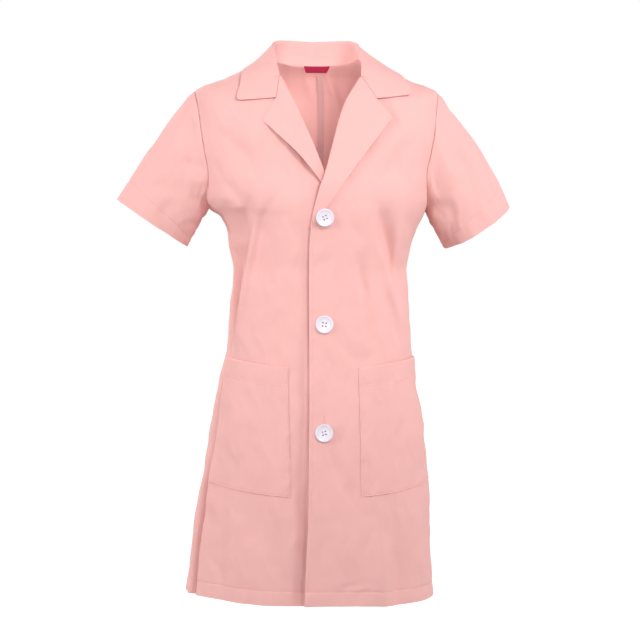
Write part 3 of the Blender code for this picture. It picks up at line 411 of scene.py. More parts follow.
# Near the opening the panel beneath sinks away and the lapping one stands off
EDGE_CREASES = {
    RIGHT: ((-0.024, -0.400, -0.034, -1.160, 0.0, 0.014, 0.010, -0.0044),
            (-0.016, -0.250, -0.022, -0.520, 0.0, 0.012, 0.008, -0.0018)),
    LEFT: ((-0.016, -0.360, -0.028, -1.160, 0.0, 0.012, 0.016, 0.0028),),
}
BACK_CREASES = (
    (-0.020, -0.040, -0.060, -0.150, 0.006, 0.012, 0.009, -0.0026),
    (0.022, -0.008, 0.056, -0.090, 0.002, 0.005, 0.010, -0.0056),
    (0.034, -0.012, 0.074, -0.100, 0.002, 0.010, 0.006, 0.0036),
    (-0.100, -0.240, -0.066, -0.400, -0.006, 0.012, 0.018, -0.0055),
    (0.104, -0.236, 0.070, -0.392, 0.006, 0.018, 0.012, -0.0055),
    (-0.118, -0.246, -0.096, -0.370, -0.006, 0.010, 0.014, 0.0040),
    (0.122, -0.250, 0.098, -0.380, 0.006, 0.014, 0.010, 0.0042),
    (-0.086, -0.352, 0.030, -0.376, -0.010, 0.010, 0.016, -0.0022),
    (-0.066, -0.330, 0.050, -0.344, 0.008, 0.012, 0.009, 0.0018),
    (-0.030, -0.392, 0.080, -0.402, -0.006, 0.009, 0.014, -0.0016),
    (-0.044, -0.500, -0.078, -1.100, 0.008, 0.022, 0.014, 0.0070),
    (0.046, -0.530, 0.074, -1.100, -0.008, 0.014, 0.022, 0.0066),
    (0.006, -0.560, 0.012, -1.060, 0.004, 0.020, 0.014, -0.0060),
    (-0.116, -0.600, -0.142, -1.080, 0.006, 0.014, 0.018, -0.0052),
    (0.106, -0.580, 0.136, -1.060, -0.006, 0.018, 0.014, -0.0056),
    (-0.160, -0.120, -0.096, -0.220, -0.008, 0.020, 0.014, -0.0034),
    (0.160, -0.130, 0.098, -0.226, 0.008, 0.014, 0.020, -0.0032),
    (-0.010, -0.150, -0.016, -0.300, 0.004, 0.016, 0.012, 0.0016),
)
# A crease starts narrow and widens, and fades over a share of its length at both ends
CREASE_START_WIDTH = 0.55
CREASE_WIDENING = 0.75
CREASE_FADE = 0.45
CREASE_STEEPNESS = 1.7
CREASE_REACH = 3
# Creases and waves calm down beside the side seams
SIDE_FADE = 0.009
# How deep each side seam sinks in the skirt: beside the pocket, and more below it
SIDE_GAP = {RIGHT: (0.0036, 0.0078), LEFT: (0.0024, 0.0004)}
SIDE_GAP_STARTS = ((-0.47, 0.10), (-0.60, 0.09))
SIDE_GAP_HALF_WIDTH = 0.0042
# The lip beside the sunk seam: share of its depth, distance and half width
FRONT_LIP = (0.35, 0.011, 0.005)
BACK_LIP = (0.45, 0.0125, 0.0085)
# Sleeve creases: turn in degrees from the top round by the front, and share of the length
SLEEVE_COLUMNS = ("from_turn", "from_share", "to_turn", "to_share", "half_width", "height")
SLEEVE_CREASES = {
    RIGHT: ((150, 0.05, 100, 0.60, 0.010, -0.0030), (120, 0.06, 84, 0.50, 0.008, 0.0026),
            (104, 0.05, 70, 0.42, 0.007, -0.0026), (60, 0.04, 40, 0.50, 0.012, -0.0020),
            (200, 0.05, 250, 0.60, 0.012, -0.0034), (230, 0.05, 280, 0.65, 0.012, 0.0030),
            (300, 0.10, 310, 0.70, 0.014, -0.0022), (164, 0.10, 132, 0.85, 0.011, 0.0028)),
    LEFT: ((56, 0.04, 74, 0.92, 0.012, -0.0036), (84, 0.05, 96, 0.80, 0.014, 0.0028),
           (150, 0.05, 112, 0.75, 0.012, -0.0034), (164, 0.12, 140, 0.90, 0.011, 0.0030),
           (200, 0.05, 240, 0.60, 0.012, -0.0034), (232, 0.05, 276, 0.65, 0.012, 0.0030),
           (300, 0.10, 312, 0.70, 0.014, -0.0022)),
}

# Slow unevenness of cloth: wave length, direction in degrees and height
UNEVEN_WAVES = ((0.0125, 86, 0.00010), (0.0173, 97, 0.00017), (0.023, 80, 0.00026),
                (0.031, 99, 0.00038), (0.047, 76, 0.00058), (0.027, 118, 0.00018),
                (0.083, 66, 0.00085), (0.061, 124, 0.00046), (0.026, 14, 0.00012),
                (0.039, -12, 0.00022))
# The waves wander aside and up: how far, and over what length
WANDER_X = (0.007, 0.087)
WANDER_Z = (0.006, 0.071)
# Shares of the waves on a front above and below the waist, and on a back
UNEVEN_CHEST = 0.62
UNEVEN_SKIRT = 0.72
UNEVEN_FROM = -0.28
UNEVEN_OVER = 0.22
UNEVEN_BACK = 0.7
RIPPLE_LENGTHS = (0.0093, 0.0147, 0.0231)
RIPPLE_SHIFT = 1.7
# Seeds that set where waves and ripples start, so that no two pieces are alike
FRONT_WAVE_SEED = 1.3
BACK_WAVE_SEED = 2.6
SLEEVE_WAVE_SEED = 4.1
FRONT_SEED = 1.0
ALLOWANCE_SEED = 2.2
BACK_SEED = 3.0
CUFF_SEED = 8
SLEEVE_SEED = 9
LAPEL_SEED = 11


def steady_curve(places, values):
    """A smooth curve through the values that never runs past them."""
    places = np.asarray(places, dtype=float)
    values = np.asarray(values, dtype=float)
    gaps = np.diff(places)
    slopes = np.diff(values) / gaps
    bends = np.zeros(len(places))
    bends[0] = slopes[0]
    bends[-1] = slopes[-1]
    for i in range(1, len(places) - 1):
        if slopes[i - 1] * slopes[i] > 0:
            bends[i] = 2 * slopes[i - 1] * slopes[i] / (slopes[i - 1] + slopes[i])

    def at(place):
        place = np.clip(place, places[0], places[-1])
        i = np.clip(np.searchsorted(places, place, side="right") - 1, 0, len(gaps) - 1)
        t = (place - places[i]) / gaps[i]
        from_values = (1 + 2 * t) * (1 - t) ** 2 * values[i] + t * t * (3 - 2 * t) * values[i + 1]
        from_bends = t * (1 - t) ** 2 * bends[i] + t * t * (t - 1) * bends[i + 1]
        return from_values + gaps[i] * from_bends

    return at


def table_curves(columns, rows):
    """One smooth curve for each named column, along the first column."""
    places = [row[0] for row in rows]
    return {name: steady_curve(places, [row[i] for row in rows])
            for i, name in enumerate(columns) if i > 0}


FORM = table_curves(FORM_COLUMNS, FORM_ROWS)
COLLAR = table_curves(COLLAR_COLUMNS, COLLAR_ROWS)
SIDE_SEAM = {side: steady_curve(SIDE_SEAM_LEVELS, SIDE_SEAM_ANGLES[side])
             for side in (LEFT, RIGHT)}
ROLL_LINE = {side: steady_curve(ROLL_HEIGHTS[side], ROLL_DISTANCES[side])
             for side in (LEFT, RIGHT)}
LOW_LEVEL = FORM_ROWS[0][0]
HIGH_LEVEL = FORM_ROWS[-1][0]


def smooth(t):
    """Ease from 0 to 1."""
    t = np.clip(t, 0.0, 1.0)
    return t * t * (3 - 2 * t)


def groove(distance, half_width):
    """A soft bump, 1 high in its middle."""
    return np.exp(-(distance / half_width) ** 2)


def stacked(*parts):
    """Join coordinates that broadcast to one shape into points."""
    return np.stack(np.broadcast_arrays(*parts), axis=-1)


def unit(vectors):
    return vectors / np.linalg.norm(vectors, axis=-1, keepdims=True)


def lengths_along(points, axis):
    """Distance along a line of points, or along each row or column of a grid."""
    steps = np.linalg.norm(np.diff(points, axis=axis), axis=-1)
    start = np.zeros_like(np.take(steps, [0], axis=axis))
    return np.concatenate([start, np.cumsum(steps, axis=axis)], axis=axis)


def points_at(wanted, lengths, line):
    """The points, or directions, of a line at the wanted distances along it."""
    return np.stack([np.interp(wanted, lengths, line[:, i]) for i in range(3)], axis=-1)


def fold_height(angle, level):
    """How far the folds stand out, or in, at an angle and a level."""
    degrees = np.degrees(angle)
    total = np.zeros(np.broadcast(angle, level).shape)
    for row in FOLD_ROWS:
        fold = dict(zip(FOLD_COLUMNS, row))
        along = (level - fold["top_level"]) / (fold["low_level"] - fold["top_level"])
        middle = fold["top_angle"] + (fold["low_angle"] - fold["top_angle"]) * along
        across = np.clip(np.abs(degrees - middle) / fold["half_width"], 0, 2)
        fade = smooth(along / FOLD_TOP_FADE) * smooth((1 - along) / FOLD_LOW_FADE)
        total = total + fold["height"] * fade * np.exp(-across ** 2 * FOLD_STEEPNESS)
    return total


def ring_point(angle, level):
    """A point of the body's ring at a level, with its folds."""
    sine = np.sin(angle)
    cosine = np.cos(angle)
    side = np.abs(sine)
    front = cosine > 0
    power = FORM["squareness"](level)
    depth = np.where(front, FORM["front_depth"](level), FORM["back_depth"](level))
    drop = np.where(front, FORM["front_drop"](level), FORM["back_drop"](level))
    rise = np.where(front, FORM["front_rise"](level), BACK_RISE)
    lean = FORM["middle_x"](level) * (1 - side ** 2) + FORM["side_x"](level) * side ** 2
    x = lean + FORM["half_width"](level) * np.sign(sine) * side ** power
    y = -np.sign(cosine) * depth * np.abs(cosine) ** power
    z = level - drop * (1 - side ** rise) - FORM["left_drop"](level) * smooth(sine)
    out = fold_height(angle, level)
    return stacked(x + out * sine, y - out * cosine, z)


def out_of_form(angle, level):
    """The direction straight out of the body's surface."""
    round_it = ring_point(angle + TURN, level) - ring_point(angle - TURN, level)
    up_it = ring_point(angle, level + STEP) - ring_point(angle, level - STEP)
    return unit(np.cross(round_it, up_it))


def on_form(angle, level, out=0.0):
    """A point on the body's surface, or some way out from it."""
    out = np.asarray(out, dtype=float)[..., None]
    return ring_point(angle, level) + out * out_of_form(angle, level)


def halving(low, high, too_low):
    """The places between low and high where too_low turns false."""
    low = np.array(low, dtype=float)
    high = np.array(high, dtype=float)
    for _ in range(HALVINGS):
        middle = (low + high) / 2
        short = too_low(middle)
        low = np.where(short, middle, low)
        high = np.where(short, high, middle)
    return (low + high) / 2


def front_place(x, z):
    """The angle and level of the front's point that is seen at x and z."""
    x, z = np.broadcast_arrays(np.asarray(x, dtype=float), np.asarray(z, dtype=float))
    right_angle = np.full(x.shape, math.pi / 2)

    def angle_at(level):
        return halving(-right_angle, right_angle, lambda a: ring_point(a, level)[..., 0] < x)

    level = halving(np.full(x.shape, LOW_LEVEL), np.full(x.shape, HIGH_LEVEL),
                    lambda h: ring_point(angle_at(h), h)[..., 2] < z)
    return angle_at(level), level


def body_height(x, y):
    """The height of the shoulders' surface over a point of the plan."""
    x, y = np.broadcast_arrays(np.asarray(x, dtype=float), np.asarray(y, dtype=float))

    def ring_shape(level):
        depth = np.where(y < 0, FORM["front_depth"](level), FORM["back_depth"](level))
        power = 2 / FORM["squareness"](level)
        lean = FORM["middle_x"](level) / 2
        across = np.abs(x - lean) / FORM["half_width"](level)
        return across ** power, (np.abs(y) / depth) ** power

    level = halving(np.full(x.shape, SHOULDER_FORM_LEVEL), np.full(x.shape, HIGH_LEVEL),
                    lambda h: sum(ring_shape(h)) < 1)
    across, along = ring_shape(level)
    angle = np.arctan2(np.sqrt(across), np.sqrt(along))
    angle = np.where(y < 0, angle, math.pi - angle)
    return ring_point(angle, level)[..., 2]


def front_edge_angle(side, level):
    """The angle of a front's free edge, or of its roll line above the break."""
    break_height = ROLL_HEIGHTS[side][0]

    def short_of_edge(angle):
        point = ring_point(side * angle, level)
        x = side * point[..., 0]
        z = point[..., 2]
        edge = side * FORM["middle_x"](level) - EDGE_BEYOND_BUTTONS
        roll = ROLL_LINE[side](z)
        joined = smooth(0.5 + (z - break_height) / EDGE_TO_ROLL)
        return x < edge + (roll - edge) * joined

    level = np.asarray(level, dtype=float)
    past_middle = np.full(level.shape, -math.pi / 4)
    return halving(past_middle, np.full(level.shape, math.pi / 2), short_of_edge)


def side_edge_angle(side, level, back):
    """The angle of the side seam, the armhole's edge or the shoulder seam."""
    height = np.clip((level - ARMHOLE_MIDDLE) / ARMHOLE_HALF, -1, 1)
    away = math.radians(ARMHOLE_HALF_ANGLE) * np.sqrt(1 - height ** 2)
    seam = np.radians(np.where(level > ARMHOLE_LOW, 90.0, SIDE_SEAM[side](level)))
    return seam + away * (1 if back else -1)


def arm_loop(side):
    """Turns and points of the armhole's edge, from its top round by the front."""
    turns = np.linspace(0, 2 * math.pi, SLEEVE_ROUND_COUNT, endpoint=False)
    level = ARMHOLE_MIDDLE + ARMHOLE_HALF * np.cos(turns)
    angle = math.pi / 2 - math.radians(ARMHOLE_HALF_ANGLE) * np.sin(turns)
    return turns, on_form(side * angle, level)


def front_out(side, angle, level):
    """How far a front's outer face stands out, where the two fronts lap."""
    point = ring_point(side * angle, level)
    x = side * (point[..., 0] - FORM["middle_x"](level))
    z = point[..., 2]
    if side == RIGHT:
        return -UNDERLAP * smooth((UNDERLAP_START - x) / UNDERLAP_SLOPE)
    crossing = np.hypot(x, z - LAPEL_CROSSING_HEIGHT) / LAPEL_CROSSING_REACH
    edge = OVERLAP_LIFT * smooth(-x / OVERLAP_SLOPE)
    return edge + LAPEL_CROSSING_LIFT * smooth(1 - crossing)


def lapel_outline(side):
    """The lapel's measures, and its neck end, notch and tip as seen from the front."""
    shape = dict(zip(LAPEL_COLUMNS, LAPEL_ROWS[side]))
    neck_end = np.array((ROLL_DISTANCES[side][-1], ROLL_HEIGHTS[side][-1]))
    notch = np.array((shape["notch_x"], shape["notch_z"]))
    tip = np.array((shape["tip_x"], shape["tip_z"]))
    return shape, neck_end, notch, tip


def lapel_flat(side, along, across):
    """Where the turned-back part lies, seen from the front.

    along runs up the roll line, across from the roll line to the outer edge.
    """
    shape, neck_end, notch, tip = lapel_outline(side)
    low_z = shape["low_end"]
    low_x = float(ROLL_LINE[side](low_z))
    break_x = ROLL_DISTANCES[side][0]
    break_z = ROLL_HEIGHTS[side][0]
    roll_z = low_z + (neck_end[1] - low_z) * along
    roll = stacked(ROLL_LINE[side](roll_z), roll_z)
    share_at_low = (low_z - break_z) / (tip[1] - break_z)
    share = share_at_low + (1 - share_at_low) * along
    bow = shape["edge_bow"] * np.sin(math.pi * share)
    outer = stacked(break_x + (tip[0] - break_x) * share + bow, break_z + (tip[1] - break_z) * share)
    first = np.linalg.norm(notch - neck_end)
    second = np.linalg.norm(tip - notch)
    bends = (0, first / (first + second), 1)
    top_x = np.interp(across, bends, (neck_end[0], notch[0], tip[0]))
    top_z = np.interp(across, bends, (neck_end[1], notch[1], tip[1]))
    top = stacked(top_x - 2 * SEAM, top_z)
    low = stacked(low_x + LAPEL_LOW_WIDTH * across, low_z)
    u = along[..., None]
    v = across[..., None]
    corners = ((1 - u) * (1 - v) * np.array((low_x, low_z))
               + (1 - u) * v * np.array((low_x + LAPEL_LOW_WIDTH, low_z))
               + u * (1 - v) * neck_end + u * v * tip)
    return (1 - v) * roll + v * outer + (1 - u) * low + u * top - corners


def lapel_roll_radius(along):
    """The roll is pressed flat at its low end and opens towards the neck."""
    opened = smooth((along - FLAT_ROLL_SHARE) / ROLL_OPENING_SHARE)
    return FLAT_ROLL_RADIUS + (ROLL_RADIUS - FLAT_ROLL_RADIUS) * opened


def lapel_middle(side, along, across):
    """Middle points of a lapel: across below 0 goes round the roll to the front's edge."""
    shape = lapel_outline(side)[0]
    turned = np.clip(across, 0, None)
    at_roll = np.zeros_like(along)
    ahead = lapel_flat(side, np.clip(along + ROLL_STEP, 0, 1), at_roll)
    behind = lapel_flat(side, np.clip(along - ROLL_STEP, 0, 1), at_roll)
    up_roll = unit(ahead - behind)
    over_front = stacked(up_roll[..., 1], -up_roll[..., 0])
    radius = lapel_roll_radius(along)
    rolled = np.clip(-across, 0, 1) * math.pi
    seen = lapel_flat(side, along, turned)
    seen = seen - over_front * (ROLL_INSET + radius * np.sin(rolled))[..., None]
    angle, level = front_place(side * seen[..., 0], seen[..., 1])
    lift = shape["edge_lift"] * np.sin(math.pi * np.clip(along, 0, 1)) * turned ** 2
    out = front_out(side, side * angle, level) - CLOTH / 2 + radius * (1 + np.cos(rolled)) + lift
    return on_form(angle, level, out)


def collar_fold(side, way):
    """The highest line of the collar, where it folds over."""
    x = side * COLLAR["fold_x"](way) + COLLAR["fold_lean"](way)
    return stacked(x, COLLAR["fold_y"](way), COLLAR["fold_z"](way))


def collar_edge(side, way):
    """The collar's free edge, some way above the body."""
    x = side * COLLAR["edge_x"](way) + COLLAR["edge_lean"](way)
    forward = COLLAR["right_forward"](way) if side == RIGHT else 0.0
    y = COLLAR["edge_y"](way) - forward
    return stacked(x, y, body_height(x, y) + COLLAR["edge_rise"](way))


def gorge_point(side, way, rise):
    """A point where the collar meets the lapel, some way above the front."""
    _, neck_end, notch, _ = lapel_outline(side)
    share = np.clip((way - COLLAR_NECK_END) / (1 - COLLAR_NECK_END), 0, 1)
    seen = neck_end + (notch - neck_end) * np.asarray(share)[..., None]
    angle, level = front_place(side * (seen[..., 0] - GORGE_LAP), seen[..., 1])
    out = front_out(side, side * angle, level) - CLOTH / 2 + rise
    return on_form(angle, level, out)


def collar_section(side, way):
    """Middle points of the leaf from inside the fold, over it and down to the edge."""
    edge = collar_edge(side, way)
    start = collar_fold(side, way)
    past_neck = float(smooth((way - COLLAR_NECK_END) / COLLAR_JOIN + 1))
    if past_neck > 0:
        start = start * (1 - past_neck) + gorge_point(side, way, GORGE_RISE) * past_neck
    radius = COLLAR_FOLD_RADIUS * (1 - past_neck) + LEAST_RADIUS
    out = edge - start
    out[2] = 0
    out = unit(out)
    up = np.array((0, 0, 1))
    centre = start - radius * up - out * radius * past_neck
    turns = np.linspace(math.pi, 0, COLLAR_FOLD_POINTS)[:, None]
    arc = centre + radius * (np.cos(turns) * out + np.sin(turns) * up)
    crest = (arc[-1] + edge) / 2
    crest[2] += COLLAR_CREST * (1 - 0.5 * past_neck)
    steps = np.linspace(0, 1, COLLAR_FALL_POINTS)[1:, None]
    fall = (1 - steps) ** 2 * arc[-1] + 2 * steps * (1 - steps) * crest + steps ** 2 * edge
    line = np.vstack([arc, fall])
    floor = body_height(line[:, 0], line[:, 1]) + COLLAR_LEAF_CLEAR
    line[:, 2] = np.maximum(line[:, 2], floor)
    lengths = lengths_along(line, 0)
    return points_at(np.linspace(0, 1, COLLAR_SECTION_POINTS) * lengths[-1], lengths, line)


def neck_edge(side, way):
    """The angle and level of the neckline under the stand."""
    round_back = math.pi - (math.pi / 2) * np.clip(way / COLLAR_SHOULDER, 0, 1)
    share = np.clip((way - COLLAR_SHOULDER) / (COLLAR_NECK_END - COLLAR_SHOULDER), 0, 1)
    level = NECK_END_LEVEL * share ** NECK_CURVE
    near = front_edge_angle(side, level)
    front_angle = near + (math.pi / 2 - near) * (1 - share)
    angle = np.where(way < COLLAR_SHOULDER, round_back, front_angle)
    return side * angle, level


def crease_out(x, z, rows):
    """How far creases stand out at places seen from the front."""
    total = np.zeros(np.shape(x))
    for row in rows:
        crease = dict(zip(CREASE_COLUMNS, row))
        run_x = crease["to_x"] - crease["from_x"]
        run_z = crease["to_z"] - crease["from_z"]
        length = math.hypot(run_x, run_z)
        along = ((x - crease["from_x"]) * run_x + (z - crease["from_z"]) * run_z) / length ** 2
        aside = ((x - crease["from_x"]) * run_z - (z - crease["from_z"]) * run_x) / length
        off = aside - crease["bow"] * 4 * along * (1 - along)
        width = np.where(off > 0, crease["right_width"], crease["left_width"])
        width = width * (CREASE_START_WIDTH + CREASE_WIDENING * np.clip(along, 0, 1))
        across = np.clip(np.abs(off) / width, 0, CREASE_REACH)
        fade = smooth(along / CREASE_FADE) * smooth((1 - along) / CREASE_FADE)
        total = total + crease["height"] * fade * np.exp(-across ** CREASE_STEEPNESS)
    return total


def unevenness(x, z, seed):
    """Slow waves that wander, as in cloth that has hung and been worn."""
    wander_x = x + WANDER_X[0] * np.sin(2 * math.pi * z / WANDER_X[1] + seed)
    wander_z = z + WANDER_Z[0] * np.sin(2 * math.pi * x / WANDER_Z[1] + 2 * seed)
    total = np.zeros(np.shape(x))
    for i, (length, direction, height) in enumerate(UNEVEN_WAVES):
        turn = math.radians(direction)
        place = wander_x * math.sin(turn) + wander_z * math.cos(turn)
        total = total + height * np.sin(2 * math.pi * place / length + seed * (i + 1))
    return total


def ripple(place, seed):
    """An uneven wave along a sewn edge, between -1 and 1."""
    waves = [np.sin(2 * math.pi * place / length + RIPPLE_SHIFT * i + seed)
             for i, length in enumerate(RIPPLE_LENGTHS)]
    return sum(waves) / len(waves)


def sewn_line(kind, distance, along, seed):
    """A row of sewing that sinks into the cloth and puckers it on both sides."""
    sink, half_width, pucker, reach = kind
    return pucker * ripple(along, seed) * groove(distance, reach) - sink * groove(distance, half_width)


def marked_places(length, marks, far_marks, count):
    """Places across a width: finer by each mark from both ends, even in between."""
    def fine(wanted):
        return sorted({round(m + o, 5) for m in wanted for o in FINE_OFFSETS if m + o > LEAST_OFFSET} | {0.0})

    near = fine(marks)
    far = fine(far_marks)
    length = np.asarray(length, dtype=float)[..., None]
    tight = np.minimum(1.0, FINE_SHARE * length / (near[-1] + far[-1] + FINE_SPARE))
    start = np.array(near) * tight
    end = length - np.array(far[::-1]) * tight
    between = np.linspace(0, 1, count + 2)[1:-1]
    middle = start[..., -1:] + (end[..., :1] - start[..., -1:]) * between
    return np.concatenate([start, middle, end], axis=-1) / length


def add_object(name, data):
    """Add an object with this data to the scene."""
    made = bpy.data.objects.new(name, data)
    bpy.context.scene.collection.objects.link(made)
    return made


def new_mesh_object(name, mesh, finish):
    """Keep a bmesh as a named object in the scene."""
    data = bpy.data.meshes.new(name)
    mesh.to_mesh(data)
    mesh.free()
    data.materials.append(finish)
    return add_object(name, data)


def soften_edges(made, width, degrees):
    """Round the edges whose faces meet at more than an angle."""
    edge = made.modifiers.new("edge", "BEVEL")
    edge.width = width
    edge.segments = 2
    edge.limit_method = "ANGLE"
    edge.angle_limit = math.radians(degrees)


def shaped_mesh(made, degrees):
    """The mesh that an object's modifiers give, smooth but for its sharp edges."""
    bpy.context.view_layer.update()
    depsgraph = bpy.context.evaluated_depsgraph_get()
    shaped = bpy.data.meshes.new_from_object(made.evaluated_get(depsgraph))
    shaped.shade_smooth()
    shaped.set_sharp_from_angle(angle=math.radians(degrees))
    return shaped


def give_thickness(made, thickness):
    """Turn a surface into a closed wall behind it, with softened edges."""
    wall = made.modifiers.new("wall", "SOLIDIFY")
    wall.thickness = thickness
    wall.offset = -1.0
    wall.use_rim = True
    soften_edges(made, thickness * WALL_EDGE_SHARE, WALL_EDGE_DEGREES)
    walled = shaped_mesh(made, WALL_SHARP_DEGREES)
    made.modifiers.clear()
    plain = made.data
    made.data = walled
    bpy.data.meshes.remove(plain)
    walled.name = made.name


def join_ends(data):
    """Join the first and last columns of a tube."""
    mesh = bmesh.new()
    mesh.from_mesh(data)
    bmesh.ops.remove_doubles(mesh, verts=mesh.verts[:], dist=MERGE)
    mesh.to_mesh(data)
    mesh.free()


def cloth_sheet(name, points, outward, thickness, finish, closed=False):
    """A thin shell whose outer face goes through a grid of points."""
    rows, columns = points.shape[:2]
    mesh = bmesh.new()
    weave = mesh.loops.layers.uv.new("weave")
    bmesh.ops.create_grid(mesh, x_segments=columns - 1, y_segments=rows - 1, size=0.5)
    mesh.verts.index_update()
    column = np.array([round((v.co.x + 0.5) * (columns - 1)) for v in mesh.verts])
    row = np.array([round((v.co.y + 0.5) * (rows - 1)) for v in mesh.verts])
    across = lengths_along(points, 1)[row, column]
    along = lengths_along(points, 0)[row, column]
    for face in mesh.faces:
        for loop in face.loops:
            i = loop.vert.index
            loop[weave].uv = (across[i], along[i])
    made = new_mesh_object(name, mesh, finish)
    made.data.vertices.foreach_set("co", points[row, column].astype(np.float32).ravel())
    made.data.update()
    normals = np.array([tuple(v.normal) for v in made.data.vertices])
    if np.sum(normals * outward[row, column]) < 0:
        made.data.flip_normals()
    if closed:
        join_ends(made.data)
    give_thickness(made, thickness)
    return made


def grid_normals(points, closed=False):
    """Directions out of a grid of points, one side or the other."""
    across = np.gradient(points, axis=1)
    if closed:
        across = np.roll(points, -1, axis=1) - np.roll(points, 1, axis=1)
        across[:, 0] = points[:, 1] - points[:, -2]
        across[:, -1] = across[:, 0]
    return unit(np.cross(across, np.gradient(points, axis=0)))


def stitches(name, lines, finish, length=STITCH_LENGTH, pitch=STITCH_PITCH, thread=THREAD):
    """Rows of sewing thread as one object: short raised stitches along each line."""
    whole = bmesh.new()
    for line, outward in lines:
        lengths = lengths_along(line, 0)
        count = max(2, int(lengths[-1] / pitch))
        wanted = (np.arange(count) + 0.5) * lengths[-1] / count
        ahead = points_at(wanted + pitch / 4, lengths, line)
        behind = points_at(wanted - pitch / 4, lengths, line)
        row = bmesh.new()
        for place, run, up in zip(points_at(wanted, lengths, line), unit(ahead - behind),
                                  points_at(wanted, lengths, outward)):
            run = Vector(run)
            side = Vector(up).cross(run).normalized()
            turn = Matrix((run, side, run.cross(side))).transposed().to_4x4()
            size = Matrix.Diagonal((length / 2, thread / 2, thread / 2, 1.0))
            bmesh.ops.create_icosphere(row, subdivisions=1, radius=1.0,
                                       matrix=Matrix.Translation(place) @ turn @ size)
        part = bpy.data.meshes.new(name)
        row.to_mesh(part)
        row.free()
        whole.from_mesh(part)
        bpy.data.meshes.remove(part)
    made = new_mesh_object(name, whole, finish)
    made.data.shade_smooth()
    return made


def line_at(points, normals, distance, axis):
    """A line across or along a grid, a distance in from its first edge, and its directions."""
    lengths = lengths_along(points, axis)
    if axis == 0:
        points, normals, lengths = points.swapaxes(0, 1), normals.swapaxes(0, 1), lengths.T
    line = np.array([points_at(distance, span, strip) for span, strip in zip(lengths, points)])
    outward = np.array([points_at(distance, span, away) for span, away in zip(lengths, normals)])
    return line + STITCH_LIFT * outward, outward


def place_piece(made, slot, *nodes):
    """Keep a piece on the coat in the place of its solids; its slot is not used."""
    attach(made, "root")
    if nodes:
        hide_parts(*nodes)


def sewn_piece(name, points, outward, lines, nodes=(), thickness=THIN, closed=False, more=()):
    """Make a sheet of cloth and its sewing in the place of its solids."""
    made = cloth_sheet("lab_coat_" + name, points, outward, thickness, POPLIN, closed)
    pieces = [stitches("sewing_" + name, lines, THREAD_FINISH)] + [make() for make in more]
    place_piece(made, "cloth", *(nodes or (name,)))
    for piece in pieces:
        place_piece(piece, "cloth")


def hem_levels():
    """Levels of a panel's rows from the hem to the shoulder tip, finer by the hem's sewing."""
    height = ARMHOLE_LOW - LOW_LEVEL
    low = LOW_LEVEL + marked_places(height, (0.0, HEM), (0.0,), SKIRT_ROWS) * height
    turns = np.linspace(-math.pi / 2, math.pi / 2, ARMHOLE_ROWS)[1:]
    return np.concatenate([low, ARMHOLE_MIDDLE + ARMHOLE_HALF * np.sin(turns)])


def panel_columns(near, far, fullness, marks):
    """Shares of each row's width at which the columns of a panel lie."""
    width = np.linalg.norm(far - near, axis=-1) * fullness
    return marked_places(width, marks, (0.0,), PANEL_COLUMNS)


def front_angles(side):
    """Angles and levels of a front's fine grid, from the free edge to the side."""
    levels = hem_levels()
    near = front_edge_angle(side, levels)
    far = side_edge_angle(side, levels, back=False)
    shares = panel_columns(ring_point(side * near, levels), ring_point(side * far, levels),
                           FRONT_FULLNESS, (0.0, EDGE_STITCH))
    angles = near[:, None] + (far - near)[:, None] * shares
    grid = np.repeat(levels[:, None], shares.shape[1], axis=1)
    top_shares = shares[-1]
    steps = np.linspace(0, 1, SHOULDER_ROWS)[1:, None]
    top = NECK_END_LEVEL * (1 - top_shares) ** NECK_CURVE
    shoulder = ARMHOLE_TOP + (top - ARMHOLE_TOP) * steps
    near_top = front_edge_angle(side, shoulder)
    over = near_top + (math.pi / 2 - near_top) * top_shares
    return np.vstack([angles, over]), np.vstack([grid, shoulder])


def back_angles(side):
    """Angles and levels of a back's fine grid, from the side to the middle."""
    top = ARMHOLE_TOP * (1 - np.linspace(0, 1, SHOULDER_ROWS)[1:])
    levels = np.concatenate([hem_levels(), top])
    near = side_edge_angle(side, levels, back=True)
    shares = panel_columns(ring_point(side * near, levels), ring_point(math.pi * side, levels),
                           BACK_FULLNESS, (0.0,))
    angles = near[:, None] + (math.pi - near)[:, None] * shares
    return angles, np.repeat(levels[:, None], shares.shape[1], axis=1)


def side_seam(side, levels, distance, lip):
    """The sunk line of the side seam in the skirt, and the raised lip beside it."""
    gap = sum(depth * smooth((start - levels) / over)
              for depth, (start, over) in zip(SIDE_GAP[side], SIDE_GAP_STARTS))
    share, place, half_width = lip
    return gap * (share * groove(distance - place, half_width) - groove(distance, SIDE_GAP_HALF_WIDTH))


def panel_relief(points, seed, edge_sewn):
    """Seams that sink, a hem that stands proud and the pucker of its sewing."""
    across = lengths_along(points, 1)
    up = lengths_along(points, 0)
    out = HEM_RISE * smooth((HEM - up) / HEM_STEP)
    out = out + sewn_line(HEM_SEWING, up - HEM, across, seed)
    out = out + sewn_line(PANEL_SEAM, across[:, -1:] - across, up, seed + 2)
    if edge_sewn:
        sewn = smooth((EDGE_SEWN_TOP - up) / EDGE_SEWN_FADE)
        return out + sewn * sewn_line(EDGE_SEWING, across - EDGE_STITCH, up, seed + 4)
    sink, half_width = PANEL_SEAM[:2]
    return out - sink * groove(across, half_width)


def from_side_seam(side, angles, levels, back):
    """Places on a panel, and how far each is from its side seam."""
    base = ring_point(side * angles, levels)
    seam = ring_point(side * side_edge_angle(side, levels, back), levels)
    return base[..., 0], base[..., 2], np.linalg.norm(base - seam, axis=-1)


